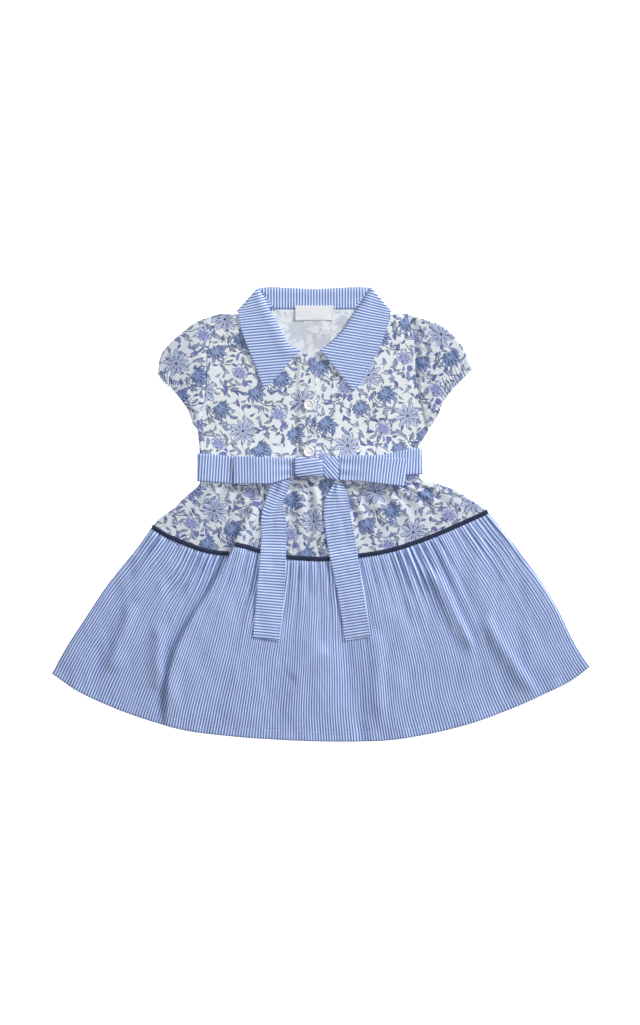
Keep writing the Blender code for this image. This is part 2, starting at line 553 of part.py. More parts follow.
def skirt_panels():
    """Skirt, back and front; the front carries the gathers and the large folds."""
    grid = skirt_grid(29, np.linspace(0.0, 1.0, 6), back=True)
    panel("skirt_back", grid, np.zeros(grid.shape[:2]), "striped_cloth")
    shares = [0.0, 0.04, 0.10, 0.20, 0.36, 0.58, 0.79, 1.0]
    columns = GATHERS * 3 + 1
    grid = skirt_grid(columns, shares)
    u = np.linspace(0.0, 1.0, columns)[None, :]
    v = np.array(shares)[:, None]
    wave = 2 * math.pi * (GATHERS * u + 0.25 * np.sin(2 * math.pi * 5.0 * u + 1.0))
    size = GATHER_HEIGHT * (0.75 + 0.25 * np.sin(2 * math.pi * 7.0 * u + 0.6))
    fade = smooth_step(v / 0.06) * np.exp(-(v / 0.27) ** 1.5)
    height = LAYER + fold_lift(grid[..., 0], grid[..., 1]) + size * (1.0 + np.cos(wave)) * fade
    panel("skirt_front", grid, height, "striped_cloth")


def laid_strip(name, left, right, across, below, finish, dome=0.0, reach=2.0, pinch=0.0):
    """Strip of cloth that lies on the pieces below it, between two edges."""
    share = np.linspace(0.0, 1.0, across)[None, :, None]
    grid = left[:, None] * (1 - share) + right[:, None] * share
    height = np.array([[top_of(below, x, y, reach) for x, y in row] for row in grid]) + GAP
    down = np.linspace(0.0, 1.0, len(left))[:, None]
    arch = 1.0 - (2.0 * share[..., 0] - 1.0) ** 2
    height = height + pinch * arch * np.exp(-(down / 0.09) ** 2)
    thick = wall(height, grid) + dome * arch
    lower = np.dstack([grid, height])
    return slab(name, np.dstack([grid, height + thick]), lower, finish)


def piping():
    """Navy piping on the skirt seam: two stretches on the front and one on the back."""
    for name, seam, count in (("piping_front_side", SEAM_LEFT, 16), ("piping_front", SEAM_RIGHT, 46)):
        line = along(seam, count)
        run = np.gradient(line, axis=0)
        run /= np.linalg.norm(run, axis=1)[:, None]
        off = np.column_stack([-run[:, 1], run[:, 0]]) * PIPING_WIDTH / 2
        laid_strip(name, line - off, line + off, 4, ("hip_front", "skirt_front"), "navy_cloth", dome=0.5)
    edges = np.array([back_seam(29, PIPING_WIDTH / 2), back_seam(29, -PIPING_WIDTH / 2)])
    panel("piping_back", edges, np.zeros(edges.shape[:2]), "navy_cloth")


def ribbon(name, low_edge, high_edge, finish):
    """Strip of cloth between two edge lines given as x, y, z, which are the middle of its wall."""
    low_edge, high_edge = np.array(low_edge, float), np.array(high_edge, float)
    path = (low_edge + high_edge) / 2
    run = np.gradient(path[:, [0, 2]], axis=0)
    run /= np.linalg.norm(run, axis=1)[:, None]
    off = np.column_stack([-run[:, 1], np.zeros(len(run)), run[:, 0]]) * CLOTH / 2
    outer = np.stack([low_edge + off, high_edge + off], axis=1)
    inner = np.stack([low_edge - off, high_edge - off], axis=1)
    return slab(name, outer, inner, finish)


def sash_band():
    """Sash round the waist: from under the knot to the left, across the back and round the right side."""
    panels = ("bodice_front_right", "bodice_front_left", "hip_front")

    def front_height(x):
        low, high = sash_edges(x)
        spots = np.linspace(low, high, 7)
        return max(top_of(panels, x + dx, y) for y in spots for dx in (-3.0, 0.0, 3.0)) + GAP + CLOTH / 2

    back = CLOTH / 2
    rows = []
    for x in np.linspace(-14.5, SASH_LEFT + SASH_TURN, 22):
        rows.append((x, x, front_height(x)))
    radius = (rows[-1][2] - back) / 2
    for angle in np.radians([30, 60, 90, 120, 150, 180]):
        x = SASH_LEFT + SASH_TURN - SASH_TURN * math.sin(angle)
        rows.append((x, x, back + radius * (1 + math.cos(angle))))
    high_x, low_x = SASH_RIGHT
    for share in np.linspace(0.0, 1.0, 14)[1:]:
        start = SASH_LEFT + SASH_TURN
        across = [start + (end - SASH_TURN - start) * share for end in (low_x, high_x)]
        rows.append((*across, back))
    high = front_height(high_x - 5.0)
    radius = (high - back) / 2
    for angle in np.radians([30, 60, 90, 120, 150, 180]):
        turn = SASH_TURN * math.sin(angle)
        height = back + radius * (1 - math.cos(angle))
        rows.append((low_x - SASH_TURN + turn, high_x - SASH_TURN + turn, height))
    for x in np.linspace(high_x - 8.0, -10.5, 18):
        rows.append((x, x, front_height(x)))
    middle, reach, fading, pulled = KNOT_PINCH
    low_edge = []
    for x, _, z in rows:
        low = sash_edges(x)[0]
        if z > back + LAYER:
            low += (pulled - low) * smooth_step((reach - abs(x - middle)) / fading)
        low_edge.append((x, low, z))
    high_edge = [(high, sash_edges(high)[1], z) for low, high, z in rows]
    ribbon("sash_band", low_edge, high_edge, "striped_cloth")


def bow_loop(name, start, end, edges):
    """Flattened loop of the bow: out along the sash, round and back to the knot."""
    under = []
    for share in np.linspace(0.0, 1.0, 9):
        x = start + (end - start) * share
        low, high = sash_edges(x)
        base = max(top_of(("sash_band",), x + dx, y) for y in np.linspace(low + 1, high - 1,
                        4) for dx in (-2, 0, 2))
        under.append((share, base + GAP + CLOTH / 2))
    level = max(z for _, z in under[-4:])
    rows = [(share, max(z, level)) for share, z in under]
    half = LAYER / 2 + 0.15
    fold = 0.035
    rows = [(share * (1 - fold), z) for share, z in rows]
    last = rows[-1][1]
    for angle in np.radians([45, 90, 135]):
        rows.append((1 - fold + fold * math.sin(angle), last + half * (1 - math.cos(angle))))
    for share, z in reversed(rows[:9]):
        rows.append((share, z + 2 * half + 1.7 * math.sin(math.pi * share) ** 2))
    table = np.array(edges)
    low_edge, high_edge = [], []
    for share, z in rows:
        low_x, low_y, high_x, high_y = (np.interp(share, table[:, 0], table[:, k]) for k in (1, 2, 3, 4))
        low_edge.append((low_x, low_y, z))
        high_edge.append((high_x, high_y, z))
    ribbon(name, low_edge, high_edge, "striped_cloth")


def knot_piece(name, sections, crown):
    """Rounded pad of the knot from sections along x: x, lower y, upper y, share of its full height."""
    base = max(top_of(("sash_band",), x, y, 1.0) for x, low, high,
               _ in sections for y in (low + 2, high - 2)) + GAP
    count = 14
    rings = []
    for x, low, high, share in sections:
        ring = []
        for k in range(count):
            angle = 2 * math.pi * (k + 0.5) / count
            across, up = math.cos(angle), math.sin(angle)
            across = math.copysign(abs(across) ** 0.6, across)
            up = math.copysign(abs(up) ** 0.8, up)
            ring.append((x, (low + high) / 2 + (high - low) / 2 * across,
                        base + crown * (0.5 + 0.5 * share * up)))
        rings.append(ring)
    points = [p for ring in rings for p in ring]
    faces = []
    for r in range(len(rings) - 1):
        for k in range(count):
            a, b = r * count + k, r * count + (k + 1) % count
            faces.append((a, b, b + count, a + count))
    faces.append(tuple(reversed(range(count))))
    faces.append(tuple((len(rings) - 1) * count + k for k in range(count)))
    return add_solid(name, points, faces, "striped_cloth")


def bow():
    """Bow on the front of the sash: two loops, the wrap of the knot, a twisted fold of it and two tails."""
    bow_loop("bow_loop_left", -28.2, -91.4, [
        (0.0, -28.2, 38.0, -28.2, 57.6), (0.4, -53.0, 30.8, -53.0, 58.3), (1.0, -91.4, 30.6, -91.4, 59.5)])
    bow_loop("bow_loop_right", 19.2, 89.8, [
        (0.0, 19.2, 34.6, 19.2, 61.4), (0.33, 42.6, 33.2, 42.6, 60.4), (1.0, 87.5, 28.0, 89.8, 56.6)])
    knot_piece("bow_knot", [(-27.6, 39.4, 58.2, 0.72), (-25.5, 38.6, 59.0, 0.94), (-18.0, 38.2, 58.4, 1.0),
                            (-8.0, 38.2, 57.4, 1.0), (0.0, 38.4, 56.6, 0.94), (2.0, 39.4, 55.6, 0.72)], 5.2)
    knot_piece("bow_knot_twist", [(2.4, 39.0, 58.4, 0.6), (5.0, 36.8, 59.2, 0.9), (10.0, 35.8, 59.4, 1.0),
                                  (15.0, 34.8, 59.6, 0.85), (18.6, 34.8, 59.6, 0.6)], 4.4)
    below = ("sash_band", "hip_front", "skirt_front", "piping_front")
    for name, rows in (("bow_tail_left", TAIL_LEFT), ("bow_tail_right", TAIL_RIGHT)):
        table = along(rows, 26, columns=4)
        laid_strip(name, table[:, :2], table[:, 2:], 5, below, "striped_cloth", reach=5.6, pinch=1.6)


def label():
    """Blank woven label on the inside of the back neck."""
    left, low, right, high = LABEL_BOX
    below = ("bodice_back", "collar")
    base = max(top_of(below, x, y) for x in np.linspace(left, right, 9) for y in np.linspace(low, high,
                        5)) + GAP
    corners = np.array([[(left, high), (right, high)], [(left, low), (right, low)]])
    height = np.full((2, 2), base)
    slab("label_neck", np.dstack([corners, height + 1.0]), np.dstack([corners, height]), "label_cloth")


def button(name, x, y):
    """Four-hole shirt button, turned, with a raised rim and a dished face."""
    base = top_of(("bodice_front_right",), x, y, BUTTON_RADIUS * 0.95) + GAP
    sides = 16
    points = []
    for radius_share, height_share in BUTTON_PROFILE:
        for k in range(sides):
            angle = 2 * math.pi * (k + 0.5) / sides
            radius = BUTTON_RADIUS * radius_share
            points.append((x + radius * math.cos(angle), y + radius * math.sin(angle),
                           base + BUTTON_THICK * height_share))
    last = (len(BUTTON_PROFILE) - 1) * sides
    faces = [tuple(range(sides)), tuple(last + k for k in reversed(range(sides)))]
    for a in range(0, last, sides):
        for k in range(sides):
            near = (k + 1) % sides
            faces.append((a + k, a + sides + k, a + sides + near, a + near))
    disc = add_solid(name, points, faces, "pearl_plastic")
    centre = np.array([x - BOX_CENTRE[0], y - BOX_CENTRE[1], base + BUTTON_THICK / 2])
    for k in range(4):
        angle = math.pi / 4 + k * math.pi / 2
        spot = centre + BUTTON_HOLE_REACH * np.array([math.cos(angle), math.sin(angle), 0.0])
        bpy.ops.mesh.primitive_cylinder_add(vertices=8, radius=BUTTON_HOLE_RADIUS / 1000.0,
                                            depth=BUTTON_THICK * 2 / 1000.0, location=tuple(spot / 1000.0))
        cutter = bpy.context.object
        cutter.name = name + "_hole_cutter_" + str(k + 1)
        cutter.hide_render = True
        cutter.display_type = "WIRE"
        cut = disc.modifiers.new("hole_" + str(k + 1), "BOOLEAN")
        cut.operation = "DIFFERENCE"
        cut.solver = "EXACT"
        cut.object = cutter


def main():
    for thing in list(bpy.data.objects):
        bpy.data.objects.remove(thing, do_unlink=True)
    bodice_back()
    bodice_front("bodice_front_left", ARMHOLE_RIGHT + SIDE_RIGHT[1:], NECK_FRONT_RIGHT, on_top=False)
    bodice_front("bodice_front_right", ARMHOLE_LEFT + SIDE_LEFT[1:], NECK_FRONT_LEFT, on_top=True)
    sleeve("sleeve_right", ARMHOLE_LEFT, SLEEVE_TOP_LEFT, CUFF_LEFT, -1)
    sleeve("sleeve_left", ARMHOLE_RIGHT, SLEEVE_TOP_RIGHT, CUFF_RIGHT, 1)
    collar()
    hip_panels()
    skirt_panels()
    piping()
    sash_band()
    bow()
    label()
    for name, x, y in BUTTON_PLACES:
        button(name, x, y)


main()
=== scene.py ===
# A small child's muslin dress laid flat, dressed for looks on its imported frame.
# Tables and formulas are in millimetres on the table; meshes are written in metres.
import math

import bpy
import numpy as np
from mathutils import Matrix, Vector
from mathutils.bvhtree import BVHTree


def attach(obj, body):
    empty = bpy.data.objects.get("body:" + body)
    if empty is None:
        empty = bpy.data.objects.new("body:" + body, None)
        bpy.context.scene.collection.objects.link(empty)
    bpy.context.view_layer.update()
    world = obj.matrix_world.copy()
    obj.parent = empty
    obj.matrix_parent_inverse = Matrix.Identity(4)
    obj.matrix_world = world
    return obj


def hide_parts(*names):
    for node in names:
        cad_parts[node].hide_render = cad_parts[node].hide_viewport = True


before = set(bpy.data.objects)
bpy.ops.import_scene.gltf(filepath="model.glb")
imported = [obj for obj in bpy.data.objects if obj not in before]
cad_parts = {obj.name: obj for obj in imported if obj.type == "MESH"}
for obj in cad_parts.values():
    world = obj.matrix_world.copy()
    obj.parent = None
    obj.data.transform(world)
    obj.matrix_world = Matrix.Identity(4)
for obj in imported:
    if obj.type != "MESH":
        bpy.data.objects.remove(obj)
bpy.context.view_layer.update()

# Driving dimensions, in millimetres
CLOTH = 1.2                 # height of one layer of cloth, as in the solids
GAP = 0.3
LAYER = CLOTH + GAP
BOX_CENTRE = (0.1, -1.09)   # middle of the laid garment in the tables' own coordinates
WAIST_Y = 48.0
GATHERS = 44
GATHER_HEIGHT = 1.15
HIP_GATHERS = 17
PIPING_WIDTH = 4.6
STRIPE = 3.0                # one blue and one white stripe
BUTTON_RADIUS = 5.75
BUTTON_THICK = 2.2
BUTTON_PLACES = (("upper", -12.6, 113.4), ("lower", -12.8, 64.6))
PLACKET_EDGE = -5.0
UNDERLAP_EDGE = -19.0
LABEL_BOX = (-26.9, 202.4, 13.3, 217.8)
HEM_DEPTH = 9.0             # from the hem's fold to its line of stitches
PIXEL = 1.05                # millimetres on the table for one pixel of the picture
PICTURE = (640, 1025)
PICTURE_ORIGIN = (321.0, 513.0)   # pixel of the tables' origin
LENS = 100.0
SENSOR = 36.0

# Sash edges across the waist: x, lower y, upper y
SASH_EDGE = [
    (-131.0, 33.2, 62.7), (-92.0, 30.6, 59.9), (-27.0, 31.0, 57.5), (2.0, 33.5, 56.6),
    (19.0, 36.0, 59.6), (66.0, 38.6, 61.2), (90.0, 39.8, 67.0), (109.0, 40.6, 68.3),
]
SASH_LEFT = -129.6          # middle of the cloth where the sash turns round the left side
SASH_TURN = 3.4             # how far inside that line the turn begins
KNOT_PINCH = (-7.5, 27.0, 6.0, 40.5)  # where the knot pulls the sash up: middle, reach, fading, height
SASH_RIGHT = (105.4, 106.9) # the same on the right, at its upper and lower edge

# Outlines, each from its upper to its lower end: x, y
ARMHOLE_LEFT = [(-105.8, 209.2), (-114.2, 186.9), (-119.2, 164.8), (-119.8, 139.7), (-123.6, 113.4),
                (-129.2, 84.5)]
ARMHOLE_RIGHT = [(90.0, 209.2), (96.3, 186.9), (98.4, 164.8), (99.6, 139.7), (104.6, 113.4), (108.4, 99.5),
                 (112.6, 87.4)]
SIDE_LEFT = [(-129.2, 84.5), (-127.9, 72.0), (-127.4, WAIST_Y)]
SIDE_RIGHT = [(112.6, 87.4), (108.6, 79.6), (103.4, 71.5), (102.0, 62.0), (102.8, WAIST_Y)]
HIP_LEFT = [(-127.4, WAIST_Y), (-127.8, 30.0), (-136.5, 22.1), (-146.0, 13.7), (-154.3, 5.2),
            (-168.0, -4.2),
            (-177.2, -14.4)]
HIP_RIGHT = [(102.8, WAIST_Y), (103.6, 37.5), (122.9, 30.5), (144.9, 22.1), (157.5, 13.7), (170.1, 5.2),
             (174.9, 1.4)]
SKIRT_LEFT = [(-177.2, -14.4), (-193.2, -36.8), (-220.5, -70.4), (-248.9, -112.4), (-267.8, -141.8),
              (-282.6, -168.4)]
SKIRT_RIGHT = [(174.9, 1.4), (192.2, -19.9), (212.1, -45.1), (245.7, -95.5), (266.7, -136.5),
               (282.8, -161.0)]
SEAM_LEFT = [(-177.2, -14.4), (-160.2, -24.4), (-143.4, -31.5), (-125.3, -38.2), (-107.2, -41.8),
             (-96.6, -42.6)]
SEAM_RIGHT = [(-90.3, -32.8), (-77.1, -35.7), (-63.2, -40.6), (-36.1, -46.2), (-16.8, -47.6), (8.4, -48.1),
              (37.5, -45.1), (71.3, -39.4), (107.4, -27.9), (143.6, -12.9), (174.9, 1.4)]
SEAM_BACK = [(-177.2, -14.4), (-143.4, -29.0), (-107.4, -38.6), (-63.2, -45.6), (0.0, -48.6), (37.5, -46.6),
             (71.3, -40.4), (107.4, -28.9), (143.6, -13.9), (174.9, 1.4)]
HEM = [(-282.6, -168.4), (-257.2, -185.8), (-219.5, -203.7), (-181.7, -217.4), (-143.8, -227.9),
       (-93.5, -234.4),
       (-43.1, -238.0), (19.9, -239.9), (70.4, -238.6), (108.2, -232.8), (158.6, -220.5), (196.3, -206.9),
       (234.2, -190.1), (263.6, -175.3), (282.8, -161.0)]
SLEEVE_TOP_LEFT = [(-106.6, 209.6), (-118.7, 205.3), (-131.2, 200.8), (-143.8, 191.3), (-156.5, 180.6),
                   (-164.6, 171.8), (-169.6, 161.0), (-171.4, 146.4)]
CUFF_LEFT = [(-171.4, 146.4), (-167.2, 139.7), (-157.5, 131.2), (-150.2, 122.9), (-143.8, 114.5),
             (-138.6, 105.6), (-134.4, 93.0)]
SLEEVE_TOP_RIGHT = [(90.8, 209.6), (108.2, 203.7), (123.9, 198.5), (135.5, 190.1), (143.8, 181.7),
                    (149.6, 173.2), (154.6, 162.0), (159.8, 151.4)]
CUFF_RIGHT = [(159.8, 151.4), (148.6, 140.4), (139.7, 131.2), (133.3, 122.9), (127.6, 114.5),
              (123.2, 103.5),
              (117.6, 93.4)]
NECK_FRONT_LEFT = [(-60.4, 211.6), (-59.0, 206.4), (-54.0, 193.9), (-47.2, 180.4), (-38.9, 171.2),
                   (-29.2, 167.7)]
NECK_FRONT_RIGHT = [(11.0, 167.4), (18.6, 171.2), (29.2, 181.6), (37.6, 193.9), (43.4, 206.0),
                    (45.9, 211.6)]

# Collar: where it is sewn on, where it rolls over and its outer edge (x, y each), then the heights of the
# sewn edge, of the fall beside the roll and of the outer edge, and how far the fall is tucked in beside the
# roll. The fronts run from the open end up to the shoulder, the back from left to right.
COLLAR_LEFT = [
    (-22.6, 168.4, -20.4, 171.8, -59.6, 128.9, 3.6, 5.3, 3.7, 0.0),
    (-29.2, 168.9, -27.0, 172.6, -62.6, 135.2, 3.6, 5.3, 3.7, 0.0),
    (-38.1, 172.1, -33.6, 177.0, -65.7, 145.0, 3.6, 5.3, 3.8, 0.0),
    (-46.3, 181.0, -39.3, 186.6, -70.2, 156.5, 3.6, 5.3, 4.1, 0.0),
    (-53.0, 194.4, -45.8, 198.0, -75.5, 169.5, 3.6, 5.3, 4.8, 0.0),
    (-56.6, 204.0, -52.0, 209.6, -81.2, 183.6, 3.6, 5.3, 5.2, 0.0),
    (-57.6, 211.6, -56.6, 217.6, -84.9, 195.0, 3.2, 5.3, 5.2, 0.0),
    (-52.4, 215.4, -60.6, 225.6, -87.0, 203.5, 2.1, 5.3, 5.2, 0.0),
]
COLLAR_RIGHT = [
    (1.0, 168.0, -1.2, 171.6, 34.2, 127.4, 3.6, 5.3, 3.7, 0.0),
    (8.2, 168.6, 5.4, 174.8, 39.0, 132.0, 3.6, 5.3, 3.7, 0.0),
    (17.8, 171.9, 14.0, 182.0, 44.2, 140.2, 3.6, 5.3, 3.8, 0.0),
    (28.2, 182.2, 22.6, 191.6, 50.6, 152.0, 3.6, 5.3, 4.1, 0.0),
    (36.6, 194.4, 29.6, 201.8, 58.5, 166.7, 3.6, 5.3, 4.8, 0.0),
    (41.6, 204.0, 36.6, 212.0, 66.2, 184.6, 3.6, 5.3, 5.2, 0.0),
    (43.6, 211.9, 42.0, 218.6, 70.2, 196.0, 3.3, 5.3, 5.2, 0.0),
    (38.4, 215.4, 46.4, 227.2, 72.8, 203.5, 2.1, 5.3, 5.2, 0.0),
]
COLLAR_BACK = [
    (-40.0, 214.8, -54.0, 237.2, -72.0, 200.6, 2.1, 0.6, 0.6, 0.0),
    (-28.0, 214.5, -36.0, 236.6, -43.0, 196.8, 2.1, 0.6, 0.6, 0.0),
    (-7.4, 214.2, -7.4, 235.4, -7.4, 195.4, 2.1, 0.6, 0.6, 0.0),
    (15.0, 214.5, 22.0, 236.6, 28.0, 196.8, 2.1, 0.6, 0.6, 0.0),
    (27.0, 214.8, 40.0, 237.2, 58.0, 200.6, 2.1, 0.6, 0.6, 0.0),
]
# Where the collar bends round each shoulder, seen from above: the same three points
COLLAR_BEND_LEFT = ((-45.0, 214.9), (-65.6, 236.6), (-88.2, 211.8))
COLLAR_BEND_RIGHT = ((31.0, 214.9), (52.4, 236.6), (74.3, 211.8))

# Bow tails: left edge x, y, right edge x, y, from the knot down to the cut end
TAIL_LEFT = [
    (-52.4, 29.4, -28.6, 36.2), (-59.2, 10.2, -34.2, 24.6), (-62.2, -0.6, -39.0, 12.6),
    (-62.6, -26.0, -37.2, -4.0),
    (-65.0, -56.0, -36.8, -46.0), (-67.2, -80.0, -38.4, -80.6), (-71.4, -130.3, -43.6, -134.2),
]
TAIL_RIGHT = [
    (13.2, 30.2, 22.0, 32.8), (5.9, 18.3, 25.7, 23.4), (3.4, 7.2, 28.8, 8.0), (4.3, -14.9, 34.6, -20.4),
    (8.8, -43.5, 39.0, -48.0), (17.3, -83.5, 43.9, -80.4), (25.2, -134.2, 52.2, -129.2),
]

# Folds of the front: points along the crest, its height, and how wide it falls off on each side
FOLDS = [
    {"crest": [(-62.0, 26.0), (-77.0, -4.0), (-92.0, -37.0), (-110.0, -72.0), (-128.0, -102.0),
               (-146.0, -132.0),
               (-157.0, -164.0), (-160.5, -200.0), (-161.0, -226.0)], "height": 2.9, "left": 3.6,
               "right": 13.0},
    {"crest": [(-196.0, -91.0), (-209.0, -128.0), (-223.0, -168.0)], "height": 1.6, "left": 6.0,
     "right": 9.0},
    {"crest": [(-172.0, -112.0), (-171.0, -150.0), (-172.0, -188.0)], "height": 1.2, "left": 6.0,
     "right": 8.0},
    {"crest": [(106.0, -52.0), (124.0, -74.0), (136.0, -98.0), (160.0, -144.0)], "height": 2.0, "left": 9.0,
     "right": 5.0},
    {"crest": [(170.0, -102.0), (182.0, -128.0), (198.0, -152.0), (224.0, -190.0)], "height": 1.8,
     "left": 8.0,
     "right": 6.0},
    {"crest": [(10.0, -140.0), (-12.0, -156.0), (-32.0, -174.0)], "height": 1.3, "left": 9.0, "right": 9.0},
    {"crest": [(58.0, -120.0), (60.0, -160.0), (62.0, -214.0)], "height": 1.3, "left": 10.0, "right": 7.0},
]

# Light: place in metres, size, power and colour
LAMPS = [
    ("key", (2.5, 2.2, 1.5), 0.8, 142.0, (0.97, 0.985, 1.0)),
    ("overhead", (-0.03, 0.03, 0.9), 0.3, 3.5, (0.97, 0.985, 1.0)),
]
WORLD_LIGHT = 0.13
FLOOR_GLOW = 0.9
MOST_LIFT = 3.4
UNDER_TURN = 0.9            # how far a cloth's edge turns down

# Print: the two steps of its repeat, in millimetres
REPEAT_A = (41.0, -43.0)
REPEAT_B = (-63.0, -31.5)

# Blooms of the print: x, y, turn in degrees, petals, radius, fullness at the back, petal width, and its ink.
# Heads with several rows of petals have a row here for each, the outer one first.
BLOOMS = [
    {"x": 0.0, "y": 0.0, "turn": 12, "petals": 9, "radius": 15.0, "back": 1.0, "wide": 0.86, "ink": "pale"},
    {"x": 14.2, "y": -15.8, "turn": -48, "petals": 17, "radius": 19.0, "back": 0.42, "wide": 1.12, "ink": "deep"},
    {"x": 15.0, "y": -16.8, "turn": -48, "petals": 15, "radius": 14.4, "back": 0.46, "wide": 1.1, "ink": "deep"},
    {"x": 15.8, "y": -17.8, "turn": -48, "petals": 11, "radius": 9.4, "back": 0.5, "wide": 1.1, "ink": "deep"},
    {"x": -11.4, "y": -30.0, "turn": -60, "petals": 17, "radius": 17.6, "back": 0.40, "wide": 1.12, "ink": "mauve"},
    {"x": -10.8, "y": -31.2, "turn": -60, "petals": 13, "radius": 13.0, "back": 0.44, "wide": 1.1, "ink": "deep"},
    {"x": -10.2, "y": -32.4, "turn": -60, "petals": 9, "radius": 8.4, "back": 0.5, "wide": 1.1, "ink": "deep"},
    {"x": -28.0, "y": -18.4, "turn": 64, "petals": 9, "radius": 16.4, "back": 0.30, "wide": 1.25, "ink": "pale"},
    {"x": -27.4, "y": -17.4, "turn": 64, "petals": 7, "radius": 10.4, "back": 0.34, "wide": 1.3, "ink": "mauve"},
    {"x": -19.8, "y": -24.6, "turn": 20, "petals": 5, "radius": 3.8, "back": 1.0, "wide": 1.3, "ink": "violet"},
    {"x": 22.6, "y": 3.4, "turn": 50, "petals": 5, "radius": 3.2, "back": 1.0, "wide": 1.3, "ink": "violet"},
]
# Leaves of the print: x, y, turn, half length, half width, bend
LEAVES = [
    {"x": -7.4, "y": -18.4, "turn": -38, "long": 6.8, "wide": 2.3, "bend": 0.024},
    {"x": 21.4, "y": -35.4, "turn": -8, "long": 6.2, "wide": 2.4, "bend": -0.02},
    {"x": 27.0, "y": 9.6, "turn": 28, "long": 5.2, "wide": 1.9, "bend": 0.04},
    {"x": 24.8, "y": -5.0, "turn": -34, "long": 4.6, "wide": 1.8, "bend": -0.04},
    {"x": 32.8, "y": 1.4, "turn": 6, "long": 4.6, "wide": 1.8, "bend": 0.03},
    {"x": 5.4, "y": -21.4, "turn": 74, "long": 5.0, "wide": 1.9, "bend": 0.06},
    {"x": 8.6, "y": -32.0, "turn": 134, "long": 4.2, "wide": 1.7, "bend": -0.06},
    {"x": -17.4, "y": -7.0, "turn": 104, "long": 4.8, "wide": 1.9, "bend": 0.04},
    {"x": 5.0, "y": -44.4, "turn": 16, "long": 4.6, "wide": 1.8, "bend": 0.04},
    {"x": -1.6, "y": -50.4, "turn": -54, "long": 4.4, "wide": 1.7, "bend": -0.05},
]
# Stems of the print: x, y, turn, half length, bend
STEMS = [
    {"x": 12.0, "y": -30.0, "turn": -34, "long": 15.0, "bend": 0.016},
    {"x": 24.0, "y": 2.0, "turn": 14, "long": 11.0, "bend": 0.02},
    {"x": 3.6, "y": -26.0, "turn": 96, "long": 9.0, "bend": -0.03},
    {"x": -19.0, "y": -6.0, "turn": 118, "long": 9.0, "bend": 0.022},
    {"x": -27.0, "y": -33.0, "turn": -42, "long": 9.0, "bend": 0.03},
    {"x": 5.0, "y": -48.0, "turn": -10, "long": 13.0, "bend": 0.018},
]


def linear(red, green, blue):
    """Scene colour of a colour given in 0 to 255."""
    return tuple((c / 255 / 12.92) if c <= 10 else ((c / 255 + 0.055) / 1.055) ** 2.4 for c in (red, green, blue))


# Small leaves strewn between the motifs: pitch, shift, half length, half width, bend
SPRIGS = [
    {"pitch": 12.5, "shift": 7.0, "long": 4.6, "wide": 1.9, "bend": 0.05},
    {"pitch": 9.0, "shift": 41.0, "long": 3.1, "wide": 1.35, "bend": -0.06},
]
INK = {
    "ground": linear(230, 234, 237), "line": linear(66, 80, 120), "pale": linear(198, 206, 230),
    "deep": linear(154, 173, 212), "mauve": linear(164, 168, 212), "violet": linear(132, 126, 186),
    "leaf": linear(196, 204, 220), "white": linear(218, 232, 255), "navy": linear(27, 35, 64),
    "reverse": linear(228, 231, 237), "reverse_ink": linear(178, 185, 198), "label": linear(230, 231, 234),
    "pearl": linear(240, 239, 234), "thread": linear(222, 229, 244), "thread_blue": linear(120, 142, 196),
}


def smooth_step(value):
    """Soft ramp from 0 to 1."""
    t = np.clip(value, 0.0, 1.0)
    return t * t * (3.0 - 2.0 * t)


def noise(x, y, seed):
    """Smooth noise from -1 to 1, one lump to a unit."""
    table = np.random.RandomState(seed).rand(64, 64)
    xi, yi = np.floor(x).astype(int), np.floor(y).astype(int)
    fx, fy = smooth_step(x - xi), smooth_step(y - yi)
    at = lambda a, b: table[(xi + a) % 64, (yi + b) % 64]
    low = at(0, 0) * (1 - fx) + at(1, 0) * fx
    high = at(0, 1) * (1 - fx) + at(1, 1) * fx
    return 2.0 * (low * (1 - fy) + high * fy) - 1.0


def along(rows, count=None, places=None, columns=2):
    """Points on a smooth curve through a table's rows; places are shares of its length."""
    rows = np.array(rows, float)
    steps = np.linalg.norm(np.diff(rows[:, :columns], axis=0), axis=1)
    marks = np.concatenate([[0.0], np.cumsum(steps)])
    marks = marks / marks[-1]
    slopes = np.diff(rows, axis=0) / np.diff(marks)[:, None]
    tangents = np.empty_like(rows)
    tangents[0], tangents[-1] = slopes[0], slopes[-1]
    widths = np.diff(marks)[:, None]
    tangents[1:-1] = (slopes[:-1] * widths[1:] + slopes[1:] * widths[:-1]) / (widths[1:] + widths[:-1])
    before, after = slopes[:-1, columns:], slopes[1:, columns:]
    same_way = before * after > 0
    tangents[1:-1, columns:] = np.where(same_way, 2 * before * after / np.where(same_way, before + after, 1.0), 0.0)
    spots = np.linspace(0.0, 1.0, count) if places is None else np.asarray(places, float)
    index = np.clip(np.searchsorted(marks, spots, side="right") - 1, 0, len(rows) - 2)
    span = marks[index + 1] - marks[index]
    t = ((spots - marks[index]) / span)[:, None]
    span = span[:, None]
    start, end = rows[index], rows[index + 1]
    return ((2 * t**3 - 3 * t**2 + 1) * start + (t**3 - 2 * t**2 + t) * span * tangents[index]
            + (3 * t**2 - 2 * t**3) * end + (t**3 - t**2) * span * tangents[index + 1])


def patch(upper, lower, left, right, shares=None):
    """Grid between four edges: rows run from the upper edge down, columns from left to right."""
    rows, columns = len(left), len(upper)
    u = np.linspace(0.0, 1.0, columns)[None, :, None]
    v = (np.linspace(0.0, 1.0, rows) if shares is None else np.asarray(shares))[:, None, None]
    upper, lower = np.array(upper)[None], np.array(lower)[None]
    left, right = np.array(left)[:, None], np.array(right)[:, None]
    corners = ((1 - u) * (1 - v) * upper[:, :1] + u * (1 - v) * upper[:, -1:]
               + (1 - u) * v * lower[:, :1] + u * v * lower[:, -1:])
    return (1 - v) * upper + v * lower + (1 - u) * left + u * right - corners


